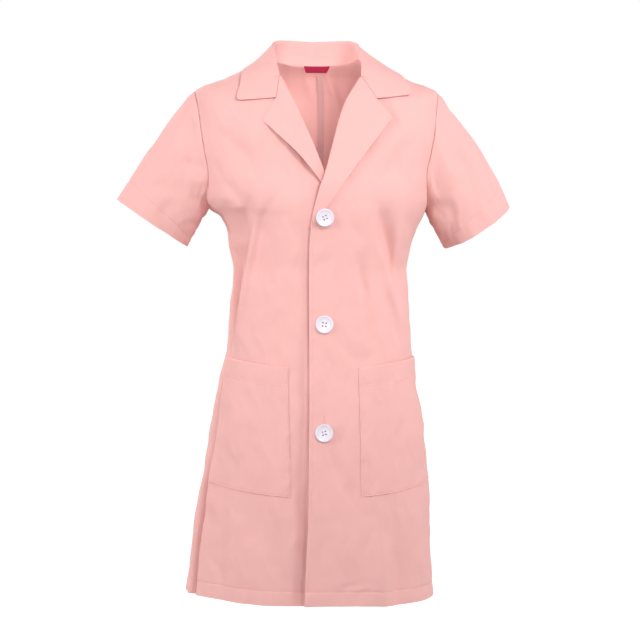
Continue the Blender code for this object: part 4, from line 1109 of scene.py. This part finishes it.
def front_surface(side, angles, levels, extra=0.0):
    """Outer points of a front with its creases, and the directions out of it."""
    x, z, to_side = from_side_seam(side, angles, levels, back=False)
    calm = UNEVEN_CHEST + (UNEVEN_SKIRT - UNEVEN_CHEST) * smooth((UNEVEN_FROM - z) / UNEVEN_OVER)
    crease = crease_out(x, z, FRONT_CREASES + EDGE_CREASES[side]) + unevenness(x, z, FRONT_WAVE_SEED) * calm
    crease = crease * smooth(to_side / SIDE_FADE) + side_seam(side, levels, to_side, FRONT_LIP)
    out = front_out(side, angles, levels) + crease + extra
    return on_form(side * angles, levels, out), out_of_form(side * angles, levels)


def make_front(side):
    """A front from its free edge to the side seam, and its sewing."""
    angles, levels = front_angles(side)
    flat, _ = front_surface(side, angles, levels)
    relief = panel_relief(flat, FRONT_SEED + side, side == LEFT)
    points, outward = front_surface(side, angles, levels, relief)
    lines = [line_at(points, outward, HEM, 0)]
    if side == LEFT:
        line, away = line_at(points, outward, EDGE_STITCH, 1)
        sewn = line[:, 2] < EDGE_STITCH_TOP
        lines.append((line[sewn], away[sewn]))
    sewn_piece("front_" + SIDE_NAMES[side], points, outward, lines)


def back_crease(side, angles, levels):
    """How far a back's creases and waves stand out."""
    x, z, from_side = from_side_seam(side, angles, levels, back=True)
    crease = crease_out(x, z, BACK_CREASES) + UNEVEN_BACK * unevenness(x, z, BACK_WAVE_SEED)
    return crease * smooth(from_side / SIDE_FADE)


def make_allowance():
    """The centre-back seam's allowance, inside the back from hem to neck, in a darker and greyer copy of the
    poplin whose tone is painted shade of its fold.
    """
    rows, columns = ALLOWANCE_GRID
    levels = np.linspace(LOW_LEVEL + ALLOWANCE_RISE, ALLOWANCE_TOP, rows)
    aside = np.linspace(ALLOWANCE_START, ALLOWANCE_WIDTH, columns)
    levels, aside = np.meshgrid(levels, aside, indexing="ij")
    middle_x = ring_point(np.full(levels.shape, math.pi), levels)[..., 0]
    quarter = np.full(levels.shape, math.pi / 2)
    angles = halving(quarter, 2 * quarter, lambda a: ring_point(a, levels)[..., 0] > middle_x + aside)
    free = (aside - ALLOWANCE_START) / (ALLOWANCE_WIDTH - ALLOWANCE_START)
    inside = THIN + ALLOWANCE_GAP + ALLOWANCE_LEAN * (1 - free)
    inside = inside + ALLOWANCE_WAVE * free * ripple(levels, ALLOWANCE_SEED)
    points = on_form(angles, levels, back_crease(LEFT, angles, levels) - inside)
    return cloth_sheet("lab_coat_back_seam_allowance", points, -out_of_form(angles, levels),
                       ALLOWANCE_WALL, POPLIN_PAINTED_SHADE)


def make_back(side):
    """A back from its side seam to the centre-back seam, and its sewing."""
    angles, levels = back_angles(side)
    crease = back_crease(side, angles, levels)
    flat = on_form(side * angles, levels, crease)
    relief = panel_relief(flat, BACK_SEED + side, False)
    relief = relief + side_seam(side, levels, lengths_along(flat, 1), BACK_LIP)
    points = on_form(side * angles, levels, crease + relief)
    outward = out_of_form(side * angles, levels)
    sewn_piece("back_" + SIDE_NAMES[side], points, outward, [line_at(points, outward, HEM, 0)],
               more=(make_allowance,) if side == LEFT else ())


def pocket_grid(side):
    """Angles, levels, and shares across and up a pocket from its low inner corner, and its height."""
    pocket = dict(zip(POCKET_COLUMNS, POCKETS[side]))
    height = pocket["top_level"] - pocket["low_level"]
    share = marked_places(height, (0.0, POCKET_EDGE_STITCH), (0.0, POCKET_MOUTH_MARK, *POCKET_HEM_STITCHES),
                          POCKET_GRID)
    levels = pocket["low_level"] + height * share
    inner_x = pocket["low_x"] + (pocket["top_x"] - pocket["low_x"]) * share
    quarter = np.full(levels.shape, math.pi / 2)
    near = halving(0 * quarter, quarter,
                   lambda a: side * ring_point(side * a, levels)[..., 0] < side * inner_x)
    far = side_edge_angle(side, levels, back=False)
    marks = (0.0, POCKET_EDGE_STITCH) + ((POCKET_SECOND_STITCH,) if side == LEFT else ())
    across = marked_places(np.full(levels.shape, POCKET_WIDTH), marks, (0.0,), POCKET_GRID)
    angles = near[:, None] + (far - near)[:, None] * across
    return angles, np.repeat(levels[:, None], across.shape[1], axis=1), across, share[:, None], height


def pocket_lift(side, across, share, height):
    """How far a pocket stands off its front, with its sewing sunk and puckered."""
    up = share * height
    down = height - up
    inward = across * POCKET_WIDTH
    opened = np.sin(math.pi * np.clip(across, 0, 1)) ** POCKET_MOUTH_POWER
    mouth = groove(down, POCKET_MOUTH_REACH) * opened
    belly = np.sin(math.pi * share) * np.sin(math.pi * across)
    lift = POCKET_LIFT + POCKET_MOUTH * mouth * (1 + across) / 2 + POCKET_BELLY * belly
    sewn = groove(up - POCKET_EDGE_STITCH, POCKET_SINK_WIDTH)
    sewn = sewn + groove(inward - POCKET_EDGE_STITCH, POCKET_SINK_WIDTH)
    if side == LEFT:
        second = groove(inward - POCKET_SECOND_STITCH, POCKET_SINK_WIDTH)
        sewn = sewn + second * smooth((POCKET_SECOND_TOP - up) / POCKET_SECOND_FADE)
    hem_sewn = sum(groove(down - depth, POCKET_SINK_WIDTH) for depth in POCKET_HEM_STITCHES)
    lift = lift - POCKET_SINK * sewn - POCKET_HEM_SINK * hem_sewn
    lift = lift - POCKET_LIP_SINK * groove(down, POCKET_MOUTH_MARK)
    puckers = zip(POCKET_PUCKERS, (inward, up, inward), (down - POCKET_HEM, inward, up))
    for (seed, pucker, reach), along, distance in puckers:
        lift = lift + pucker * ripple(along, seed + side) * groove(distance, reach)
    return lift


def make_pocket(side):
    """A patch that lies on the front, its mouth a little open towards the side."""
    angles, levels, across, share, height = pocket_grid(side)
    points, outward = front_surface(side, angles, levels, pocket_lift(side, across, share, height))
    lines = [line_at(points, outward, POCKET_EDGE_STITCH, axis) for axis in (0, 1)]
    lines += [line_at(points[::-1], outward[::-1], depth, 0) for depth in POCKET_HEM_STITCHES]
    if side == LEFT:
        line, away = line_at(points, outward, POCKET_SECOND_STITCH, 1)
        low = np.arange(len(line)) < len(line) / 2
        lines.append((line[low], away[low]))
    sewn_piece("pocket_" + SIDE_NAMES[side], points, outward, lines)


def sleeve_crease(side, turns, shares):
    """Creases on a sleeve, whose width is measured round it."""
    total = np.zeros(np.broadcast(turns, shares).shape)
    degrees = np.degrees(turns)
    for row in SLEEVE_CREASES[side]:
        crease = dict(zip(SLEEVE_COLUMNS, row))
        along = (shares - crease["from_share"]) / (crease["to_share"] - crease["from_share"])
        middle = crease["from_turn"] + (crease["to_turn"] - crease["from_turn"]) * along
        away = (degrees - middle + 180) % 360 - 180
        aside = np.clip(np.abs(away) / 360 * SLEEVE_GIRTH / crease["half_width"], 0, CREASE_REACH)
        fade = smooth((along + SLEEVE_FADE_BEFORE) / SLEEVE_FADE_IN) * smooth((1 - along) / SLEEVE_FADE_OUT)
        total = total + crease["height"] * fade * np.exp(-aside ** 2)
    return total


def sleeve_rings(side):
    """Rings from the armhole to the cuff, with their turns, shares, length and cuff's middle."""
    turns, edge = arm_loop(side)
    cuff = dict(zip(CUFF_COLUMNS, CUFFS[side]))
    outer_end = np.array((side * cuff["outer_x"], CUFF_BACK, cuff["outer_z"]))
    inner_end = np.array((side * cuff["inner_x"], CUFF_BACK, cuff["inner_z"]))
    middle = (outer_end + inner_end) / 2
    reach = (outer_end - inner_end) / 2
    forward = np.array((0.0, -CUFF_HALF_DEPTH, -CUFF_FRONT_DROP[side]))
    up_share, front_share = [np.sign(part) * np.abs(part) ** CUFF_ROUNDNESS
                             for part in (np.cos(turns), np.sin(turns))]
    cuff_ring = middle + np.outer(up_share, reach) + np.outer(front_share, forward)
    length = float(np.linalg.norm(cuff_ring - edge, axis=-1).mean())
    share = marked_places(length, (0.0,), (0.0, CUFF_HEM), SLEEVE_ROW_COUNT)
    down = share[:, None, None]
    bulge = SLEEVE_BULGE[side] * np.clip(np.cos(turns), 0, 1)[:, None] * unit(reach)
    rings = edge * (1 - down) + cuff_ring * down + bulge * 4 * down * (1 - down)
    around = np.append(np.arange(len(turns)), 0)
    return rings[:, around], np.append(turns, 2 * math.pi)[None, :], share[:, None], length, middle


def make_sleeve(side):
    """A tapered tube from the armhole's seam to the hemmed cuff."""
    rings, turns, share, length, middle = sleeve_rings(side)
    normals = grid_normals(rings, closed=True)
    if np.sum(normals[-1] * (rings[-1] - middle)) < 0:
        normals = -normals
    down = share * length
    from_cuff = length - down
    around = turns / (2 * math.pi) * SLEEVE_GIRTH
    upper = np.clip(np.cos(turns) + SLEEVE_HEAD_TURN, 0, 1)
    head = groove(down - SLEEVE_HEAD_PLACE, SLEEVE_HEAD_REACH) * upper
    relief = sleeve_crease(side, np.mod(turns, 2 * math.pi), share) + SLEEVE_HEAD * head
    relief = relief + SLEEVE_PUCKER * ripple(around, SLEEVE_SEED + side) * groove(down, SLEEVE_PUCKER_REACH)
    relief = relief + CUFF_HEM_RISE * smooth((CUFF_HEM - from_cuff) / HEM_STEP)
    relief = relief + sewn_line(CUFF_SEWING, from_cuff - CUFF_HEM, around, CUFF_SEED + side)
    mirrored = np.abs(np.mod(turns, 2 * math.pi) - math.pi) / (2 * math.pi) * SLEEVE_GIRTH
    uneven = unevenness(mirrored, down, SLEEVE_WAVE_SEED + side) * smooth(down / SLEEVE_CALM_REACH)
    points = rings + normals * (relief + uneven)[..., None]
    lines = [line_at(points[::-1], normals[::-1], CUFF_HEM, 0)]
    sewn_piece("sleeve_" + SIDE_NAMES[side], points, normals, lines, closed=True)


def make_lapel(side):
    """The turned-back front, rolled over at its fold and pressed at its edge."""
    rolled = np.linspace(-1, 0, LAPEL_ROLL_COLUMNS)[:-1]
    flat = marked_places(LAPEL_GIVEN_WIDTH, (0.0,), (0.0, LAPEL_EDGE_MARK), LAPEL_FLAT_COLUMNS)
    along, across = np.meshgrid(np.linspace(0, 1, LAPEL_ROW_COUNT), np.concatenate([rolled, flat]),
                                indexing="ij")
    middle = lapel_middle(side, along, across)
    normals = grid_normals(middle)
    turned = np.clip(across, 0, 1)
    edge_in = (1 - turned) * LAPEL_GIVEN_WIDTH
    near_tip = smooth((along - LAPEL_TIP_START) / (1 - LAPEL_TIP_START))
    pucker = ripple(along * LAPEL_GIVEN_LENGTH, LAPEL_SEED + side) * groove(edge_in, LAPEL_PUCKER_REACH)
    relief = LAPEL_TIP_CURL[side] * turned ** LAPEL_TIP_POWER * near_tip + LAPEL_PUCKER * pucker
    relief = relief - LAPEL_SINK * groove(edge_in - EDGE_STITCH, LAPEL_SINK_HALF_WIDTH)
    if side == LEFT:
        relief = relief - LAPEL_FOOT_SINK * (1 - smooth(along / LAPEL_FOOT_SHARE))
    points = middle + normals * (DOUBLE / 2 + relief)[..., None]
    seen = points[:, len(rolled):]
    away = normals[:, len(rolled):]
    line, outward = line_at(seen[:, ::-1], away[:, ::-1], EDGE_STITCH, 1)
    lines = [(line[LAPEL_EDGE_SEWN], outward[LAPEL_EDGE_SEWN])]
    line, outward = line_at(seen[::-1], away[::-1], EDGE_STITCH, 0)
    lines.append((line[LAPEL_TOP_SEWN], outward[LAPEL_TOP_SEWN]))
    sewn_piece("lapel_" + SIDE_NAMES[side], points, normals, lines, thickness=DOUBLE)


def collar_line(side, way, shares):
    """The collar's line from the neck seam up the stand, over and down to its edge."""
    if way > COLLAR_NECK_END:
        seam = gorge_point(side, way, GORGE_TUCK)
    else:
        seam = on_form(*neck_edge(side, way))
    fall = collar_section(side, way)
    rise = np.linspace(0, 1, COLLAR_STAND_POINTS)[:-1, None]
    line = np.vstack([seam * (1 - rise) + fall[0] * rise, fall])
    lengths = lengths_along(line, 0)
    first = lengths[len(rise)]
    wanted = np.where(shares < 0, first * (1 + shares), first + (lengths[-1] - first) * shares)
    return points_at(wanted, lengths, line)


def round_corner(points, radius):
    """Draw the corner at a grid's first row and last column in to a round."""
    down = lengths_along(points, 0)
    back = lengths_along(points[:, ::-1], 1)[:, ::-1]
    a = np.clip(1 - down / radius, 0, 1)
    b = np.clip(1 - back / radius, 0, 1)
    move_down = radius * a * (1 - np.sqrt(1 - b ** 2 / 2))
    move_back = radius * b * (1 - np.sqrt(1 - a ** 2 / 2))
    return (points + unit(np.gradient(points, axis=0)) * move_down[..., None]
            - unit(np.gradient(points, axis=1)) * move_back[..., None])


def joined_runs(runs):
    """Even places in runs that each start where the one before ends."""
    return np.unique(np.concatenate([np.linspace(*run) for run in runs]))


def make_collar():
    """Stand and fall in one: it rises from the neck seam, folds over and lies on the shoulders."""
    shares = joined_runs(COLLAR_SHARE_RUNS)
    ways = joined_runs(COLLAR_WAY_RUNS)
    right = [collar_line(RIGHT, way, shares) for way in ways[:0:-1]]
    left = [collar_line(LEFT, way, shares) for way in ways]
    middle = round_corner(np.array(right + left), COLLAR_ROUNDS[RIGHT])
    middle = round_corner(middle[::-1], COLLAR_ROUNDS[LEFT])[::-1]
    normals = grid_normals(middle)
    points = middle + normals * DOUBLE / 2
    stand_line = int(np.argmin(np.abs(shares - STAND_SEWING_SHARE)))
    points[:, stand_line] -= STAND_SEWING_SINK * normals[:, stand_line]
    turn = np.concatenate([-ways[:0:-1], ways])
    pressed = groove(turn - PRESSED_WAY, PRESSED_REACH)[:, None]
    points[..., 2] -= PRESSED_DROP * pressed * smooth((shares - PRESSED_SHARE) / (1 - PRESSED_SHARE))
    line, outward = line_at(points[:, ::-1], normals[:, ::-1], EDGE_STITCH, 1)
    lines = [(line[COLLAR_EDGE_SEWN], outward[COLLAR_EDGE_SEWN])]
    for way in (1, -1):
        line, outward = line_at(points[::way, LEAF_COLUMN:], normals[::way, LEAF_COLUMN:], EDGE_STITCH, 0)
        lines.append((line[COLLAR_END_SEWN], outward[COLLAR_END_SEWN]))
    outward = normals[STAND_SEWN, stand_line]
    lines.append((points[STAND_SEWN, stand_line] + STITCH_LIFT * outward, outward))
    sewn_piece("collar", points, normals, lines, nodes=("collar_stand", "collar_leaf"), thickness=DOUBLE)


def make_buttonhole(x, z):
    """Close rows of thread up both sides of a slit, for stitches()."""
    lines = []
    for aside in (-BUTTONHOLE_HALF_WIDTH, BUTTONHOLE_HALF_WIDTH):
        heights = z + np.linspace(-0.5, 0.5, BUTTONHOLE_POINTS) * BUTTONHOLE_LENGTH
        angle, level = front_place(np.full(BUTTONHOLE_POINTS, x + aside), heights)
        points, outward = front_surface(LEFT, angle, level)
        lines.append((points + BUTTONHOLE_LIFT * outward, outward))
    return lines


def button_disc(name):
    """A turned button with a raised rim, and four holes through its hollow."""
    mesh = bmesh.new()
    points = [mesh.verts.new((r * BUTTON_RADIUS, 0, h * BUTTON_THICKNESS)) for r, h in BUTTON_PROFILE]
    lines = [mesh.edges.new(pair) for pair in zip(points, points[1:])]
    bmesh.ops.spin(mesh, geom=points + lines, cent=(0, 0, 0), axis=(0, 0, 1),
                   angle=2 * math.pi, steps=BUTTON_STEPS, use_merge=True)
    bmesh.ops.remove_doubles(mesh, verts=mesh.verts[:], dist=MERGE)
    bmesh.ops.recalc_face_normals(mesh, faces=mesh.faces[:])
    disc = new_mesh_object(name + "_disc", mesh, BUTTON_FINISH)
    drill = bmesh.new()
    places = (-BUTTON_HOLE_PLACE, BUTTON_HOLE_PLACE)
    for hole in [(x, y, 0) for x in places for y in places]:
        bmesh.ops.create_cone(
            drill, cap_ends=True, segments=HOLE_STEPS, radius1=BUTTON_HOLE_RADIUS,
            radius2=BUTTON_HOLE_RADIUS, depth=4 * BUTTON_THICKNESS, matrix=Matrix.Translation(hole))
    cutter = new_mesh_object("holes", drill, BUTTON_FINISH)
    cut = disc.modifiers.new("holes", "BOOLEAN")
    cut.operation = "DIFFERENCE"
    cut.object = cutter
    soften_edges(disc, BUTTON_SOFT_EDGE, BUTTON_SHARP_DEGREES)
    holed = shaped_mesh(disc, BUTTON_SHARP_DEGREES)
    bpy.data.objects.remove(disc, do_unlink=True)
    bpy.data.objects.remove(cutter, do_unlink=True)
    return holed


def button_seat(x, z, rise, turn):
    """Where a button's back lies on the lapping front, and how it is turned."""
    angle, level = front_place(x, z)
    out = float(front_out(LEFT, angle, level)) + rise
    away = Vector(out_of_form(angle, level)).to_track_quat("Z", "Y").to_matrix().to_4x4()
    return Matrix.Translation(on_form(angle, level, out)) @ away @ Matrix.Rotation(turn, 4, "Z")


def add_thread(mesh, seat, run, place, half_sizes, steps):
    """A stretched ball of thread that lies along run on a seated button."""
    across = Vector((-run.y, run.x, 0))
    lie = Matrix((run, across, Vector((0, 0, 1)))).transposed().to_4x4()
    matrix = seat @ Matrix.Translation(place) @ lie @ Matrix.Diagonal((*half_sizes, 1.0))
    bmesh.ops.create_uvsphere(mesh, u_segments=steps, v_segments=THREAD_RINGS, radius=1.0,
                              matrix=matrix)


def make_button(name, x, z, rise, turn):
    """A four-hole button, with pale thread crossed over its face and thread in its holes that is coloured
    near black as painted shadow of the holes.
    """
    holed = button_disc(name)
    seat = button_seat(x, z, rise, turn)
    holed.transform(seat)
    holed.name = name
    button = add_object(name + "_four_hole", holed)
    crossed = bmesh.new()
    sunk = bmesh.new()
    for slant in (1, -1):
        run = Vector((1, slant, 0)).normalized()
        top = CROSSED_LEVEL + (CROSSED_OVER if slant > 0 else 0)
        add_thread(crossed, seat, run, (0, 0, top), CROSSED_THREAD, CROSSED_STEPS)
        for end in (1, -1):
            place = (*(run * end * SUNK_PLACE).xy, SUNK_LEVEL)
            add_thread(sunk, seat, run, place, SUNK_SHADOW_THREAD, SUNK_STEPS)
    # The thread in the holes takes the near-black finish, which is painted shadow of the holes
    threads = [new_mesh_object(name + "_thread", crossed, BUTTON_FINISH),
               new_mesh_object(name + "_hole_thread_painted_shadow", sunk, HOLE_SHADOW_THREAD)]
    place_piece(button, "button", name)
    for thread in threads:
        thread.data.shade_smooth()
        place_piece(thread, "button")


def make_buttons():
    """The buttonholes' sewing, and the buttons that lie on it."""
    lines = []
    buttons = [dict(zip(BUTTON_COLUMNS, row)) for row in BUTTONS]
    for button in buttons:
        lines += make_buttonhole(button["x"], button["z"] + button.pop("hole_raise"))
    place_piece(stitches("sewing_buttonholes", lines, THREAD_FINISH, **BUTTONHOLE_STITCH), "cloth")
    for button in buttons:
        make_button(**button)


def make_label():
    """A small plain woven label that hangs inside from the back neck seam."""
    shares = np.linspace(-0.5, 0.5, LABEL_COLUMN_COUNT)
    steps = np.linspace(0, 1, LABEL_ROW_COUNT)[:, None]
    level = LABEL_TUCK - (LABEL_HEIGHT + LABEL_TUCK) * steps
    x = shares * (LABEL_TOP_WIDTH + (LABEL_LOW_WIDTH - LABEL_TOP_WIDTH) * steps) + LABEL_X
    quarter = np.full(x.shape, math.pi / 2)
    angle = halving(quarter, 3 * quarter, lambda a: ring_point(a, level)[..., 0] > x)
    stand_off = LABEL_GAP + LABEL_BELLY * np.sin(math.pi * steps)
    points = on_form(angle, level, -CLOTH - stand_off)
    made = cloth_sheet("neck_label_plain", points, -out_of_form(angle, level), LABEL_WALL, LABEL_FINISH)
    place_piece(made, "label", "neck_label")


def set_inputs(node, values):
    """Set the values of a node's inputs by their names."""
    for name, value in values.items():
        node.inputs[name].default_value = value
    return node


def weave_group():
    """Plain weave: threads over and under, slubs along them, and a slow unevenness."""
    group = bpy.data.node_groups.new("plain_weave", "ShaderNodeTree")
    for name, kind, way in (("Place", "Vector", "INPUT"), ("Threads per metre", "Float", "INPUT"),
                            ("Height", "Float", "OUTPUT"), ("Unevenness", "Float", "OUTPUT")):
        group.interface.new_socket(name, in_out=way, socket_type="NodeSocket" + kind)
    nodes = group.nodes
    links = group.links
    given = nodes.new("NodeGroupInput")
    result = nodes.new("NodeGroupOutput")
    part = nodes.new("ShaderNodeSeparateXYZ")
    links.new(given.outputs["Place"], part.inputs["Vector"])

    def calculate(operation, *inputs):
        node = nodes.new("ShaderNodeMath")
        node.operation = operation
        for i, value in enumerate(inputs):
            if isinstance(value, float):
                node.inputs[i].default_value = value
            else:
                links.new(value, node.inputs[i])
        return node.outputs[0]

    def wave(axis):
        turns = calculate("MULTIPLY", part.outputs[axis], given.outputs["Threads per metre"])
        return calculate("SINE", calculate("MULTIPLY", turns, math.pi))

    crossing = calculate("MULTIPLY", wave("X"), wave("Y"))
    slub = set_inputs(nodes.new("ShaderNodeTexNoise"), {"Scale": 1.0, "Detail": 3.0})
    stretch = nodes.new("ShaderNodeVectorMath")
    stretch.operation = "MULTIPLY"
    stretch.inputs[1].default_value = SLUB_SCALES
    links.new(given.outputs["Place"], stretch.inputs[0])
    links.new(stretch.outputs[0], slub.inputs["Vector"])
    height = calculate("ADD", calculate("MULTIPLY", crossing, WEAVE_HEIGHT), slub.outputs["Fac"])
    links.new(height, result.inputs["Height"])
    slow = set_inputs(nodes.new("ShaderNodeTexNoise"), {"Scale": SLOW_SCALE, "Detail": 4.0})
    links.new(given.outputs["Place"], slow.inputs["Vector"])
    mixed = calculate("ADD", calculate("MULTIPLY", slow.outputs["Fac"], 1 - SLUB_SHARE),
                      calculate("MULTIPLY", slub.outputs["Fac"], SLUB_SHARE))
    links.new(mixed, result.inputs["Unevenness"])
    return group


def new_finish(name, values):
    """A material with its nodes, its links and its shader's flat values."""
    made = bpy.data.materials.new(name)
    made.use_nodes = True
    tree = made.node_tree
    return made, tree.nodes, tree.links, set_inputs(tree.nodes["Principled BSDF"], values)


def mix_tones(nodes, links, shader, dark, light, share):
    """Colour a shader between two tones, by a share that comes from a socket."""
    tone = nodes.new("ShaderNodeMix")
    tone.data_type = "RGBA"
    set_inputs(tone, {"A": (*dark, 1.0), "B": (*light, 1.0)})
    links.new(share, tone.inputs["Factor"])
    links.new(tone.outputs["Result"], shader.inputs["Base Color"])


def cloth_finish(name, dark, light, roughness, sheen, threads, bump):
    """Woven cloth: two tones of one colour over a fine raised weave."""
    made, nodes, links, shader = new_finish(name, {
        "Roughness": roughness, "Sheen Weight": sheen, "Sheen Roughness": 0.45,
        "Specular IOR Level": 0.25})
    weave = nodes.new("ShaderNodeGroup")
    weave.node_tree = bpy.data.node_groups.get("plain_weave") or weave_group()
    set_inputs(weave, {"Threads per metre": threads})
    place = nodes.new("ShaderNodeUVMap")
    place.uv_map = "weave"
    links.new(place.outputs["UV"], weave.inputs["Place"])
    mix_tones(nodes, links, shader, dark, light, weave.outputs["Unevenness"])
    raised = set_inputs(nodes.new("ShaderNodeBump"), {"Distance": bump, "Strength": 0.35})
    links.new(weave.outputs["Height"], raised.inputs["Height"])
    links.new(raised.outputs["Normal"], shader.inputs["Normal"])
    return made


def hard_finish(name, dark, light, roughness, scale):
    """A glossy or twisted finish with a faint mottle on Object coordinates."""
    made, nodes, links, shader = new_finish(name, {"Roughness": roughness})
    place = nodes.new("ShaderNodeTexCoord")
    mottle = set_inputs(nodes.new("ShaderNodeTexNoise"), {"Scale": scale, "Detail": 3.0})
    links.new(place.outputs["Object"], mottle.inputs["Vector"])
    mix_tones(nodes, links, shader, dark, light, mottle.outputs["Fac"])
    return made


def floor_finish():
    """A pale floor that the camera sees as white."""
    made, nodes, links, shader = new_finish("pale_floor", {
        "Base Color": (0.55, 0.55, 0.55, 1.0), "Roughness": 0.9, "Emission Color": WHITE})
    ray = nodes.new("ShaderNodeLightPath")
    glow = nodes.new("ShaderNodeMath")
    glow.operation = "MULTIPLY"
    glow.inputs[1].default_value = FLOOR_GLOW
    links.new(ray.outputs["Is Camera Ray"], glow.inputs[0])
    links.new(glow.outputs[0], shader.inputs["Emission Strength"])
    return made


WHITE = (1.0, 1.0, 1.0, 1.0)
FLOOR_GLOW = 0.80
# Slubs are long along one thread: scales across it, along it and through the cloth
SLUB_SCALES = (900.0, 90.0, 1.0)
SLOW_SCALE = 18.0
# How much of the height is the weave's, and of the tone is the slubs'
WEAVE_HEIGHT = 0.5
SLUB_SHARE = 0.35
POPLIN_THREADS = 2600.0
POPLIN_BUMP = 0.00012
POPLIN = cloth_finish("pink_poplin", (0.770, 0.410, 0.385), (0.850, 0.462, 0.437), 0.85, 0.08,
                      POPLIN_THREADS, POPLIN_BUMP)
# A darker, greyer copy of the poplin for the back seam's allowance: the allowance is real cloth, and its
# darker tone is painted shade of its fold
POPLIN_PAINTED_SHADE = cloth_finish("pink_poplin_painted_shade", (0.600, 0.340, 0.325), (0.680, 0.390, 0.372),
                             0.88, 0.05, POPLIN_THREADS, POPLIN_BUMP)
THREAD_FINISH = hard_finish("pink_thread", (0.80, 0.44, 0.42), (0.90, 0.52, 0.50), 0.60, 900.0)
BUTTON_FINISH = hard_finish("white_resin", (0.70, 0.65, 0.73), (0.77, 0.715, 0.79), 0.25, 120.0)
# Near-black finish for the thread in the buttons' holes: real thread, with its colour standing in for painted
# shadow in the holes
HOLE_SHADOW_THREAD = hard_finish("near_black_thread_painted_shadow", (0.03, 0.02, 0.03), (0.08, 0.05, 0.07), 0.70, 900.0)
LABEL_FINISH = cloth_finish("crimson_tape", (0.40, 0.012, 0.06), (0.52, 0.03, 0.10), 0.70, 0.10,
                            3200.0, 0.00010)

# The camera stands a little to the wearer's right and looks level at the coat's middle
VIEW_TURN = math.radians(4)
VIEW_DISTANCE = 3.0
VIEW_HEIGHT = -0.418
VIEW_ASIDE = 0.0064
LENS = 105.47
SENSOR = 36.0
AMBIENT = 0.49
FLOOR_SIZE = 60.0
FLOOR_LEVEL = -1.30
# Round soft lamps: name, place, size, power and the place each points at
LAMPS = (("key", (0.85, -1.70, 0.85), 0.8, 24.5, (0, -0.1, -0.2)),
         ("side_right", (-1.9, -0.75, 0.1), 1.2, 22.5, (0, 0, -0.4)),
         ("side_left", (1.9, -0.75, 0.1), 1.2, 11.5, (0, 0, -0.4)),
         ("back_key", (-1.30, 1.90, 0.80), 1.0, 22.0, (0, 0.1, -0.3)),
         ("back_fill", (1.70, 1.60, 0.10), 1.2, 9.0, (0, 0.1, -0.4)))
# A small lamp inside the neck, which the camera doesn't see
NECK_LAMP = ("neck", (-0.002, -0.052, -0.055), 0.09, 0.13, (0.025, 0.06, -0.105))
# A pool of light on the chest
POOL_PLACE = (0.14, -2.7, 0.00)
POOL_AIM = (0.035, 0, -0.22)
POOL_POWER = 60.0
POOL_DEGREES = 22
POOL_SIZE = 0.25


def make_camera():
    data = bpy.data.cameras.new("view")
    data.lens = LENS
    data.sensor_width = SENSOR
    camera = add_object("view", data)
    camera.location = (-VIEW_DISTANCE * math.sin(VIEW_TURN) + VIEW_ASIDE * math.cos(VIEW_TURN),
                       -VIEW_DISTANCE * math.cos(VIEW_TURN) - VIEW_ASIDE * math.sin(VIEW_TURN),
                       VIEW_HEIGHT)
    camera.rotation_euler = (math.pi / 2, 0, -VIEW_TURN)
    bpy.context.scene.camera = camera


def new_light(name, kind, power, place, aim):
    """A light of a kind that points from its place at another."""
    data = bpy.data.lights.new(name, kind)
    data.energy = power
    light = add_object(name, data)
    light.location = place
    light.rotation_euler = (Vector(aim) - Vector(place)).to_track_quat("-Z", "Y").to_euler()
    return light


def area_light(name, place, size, power, aim):
    """A round lamp with a soft edge to its shadows."""
    light = new_light(name, "AREA", power, place, aim)
    light.data.shape = "DISK"
    light.data.size = size
    return light


def make_sky():
    """An even light from all round, which the camera sees as white."""
    world = bpy.data.worlds.new("studio")
    world.use_nodes = True
    nodes = world.node_tree.nodes
    links = world.node_tree.links
    lit = set_inputs(nodes["Background"], {"Color": WHITE, "Strength": AMBIENT})
    seen = set_inputs(nodes.new("ShaderNodeBackground"), {"Color": WHITE, "Strength": 1.0})
    ray = nodes.new("ShaderNodeLightPath")
    mixed = nodes.new("ShaderNodeMixShader")
    links.new(ray.outputs["Is Camera Ray"], mixed.inputs["Fac"])
    links.new(lit.outputs["Background"], mixed.inputs[1])
    links.new(seen.outputs["Background"], mixed.inputs[2])
    links.new(mixed.outputs["Shader"], nodes["World Output"].inputs["Surface"])
    bpy.context.scene.world = world


def make_studio():
    """Soft light from the front, the sides and the back over a plain pale floor."""
    bpy.context.scene.view_settings.view_transform = "Standard"
    make_sky()
    for lamp in LAMPS:
        area_light(*lamp)
    pool = new_light("chest", "SPOT", POOL_POWER, POOL_PLACE, POOL_AIM)
    pool.data.spot_size = math.radians(POOL_DEGREES)
    pool.data.spot_blend = 1.0
    pool.data.shadow_soft_size = POOL_SIZE
    area_light(*NECK_LAMP).visible_camera = False
    floor = bmesh.new()
    bmesh.ops.create_grid(floor, x_segments=1, y_segments=1, size=FLOOR_SIZE,
                          matrix=Matrix.Translation((0, 0, FLOOR_LEVEL)))
    new_mesh_object("floor", floor, floor_finish())


def main():
    make_camera()
    make_studio()
    for side in (LEFT, RIGHT):
        make_front(side)
        make_back(side)
        make_sleeve(side)
        make_pocket(side)
        make_lapel(side)
    make_collar()
    make_buttons()
    make_label()


main()
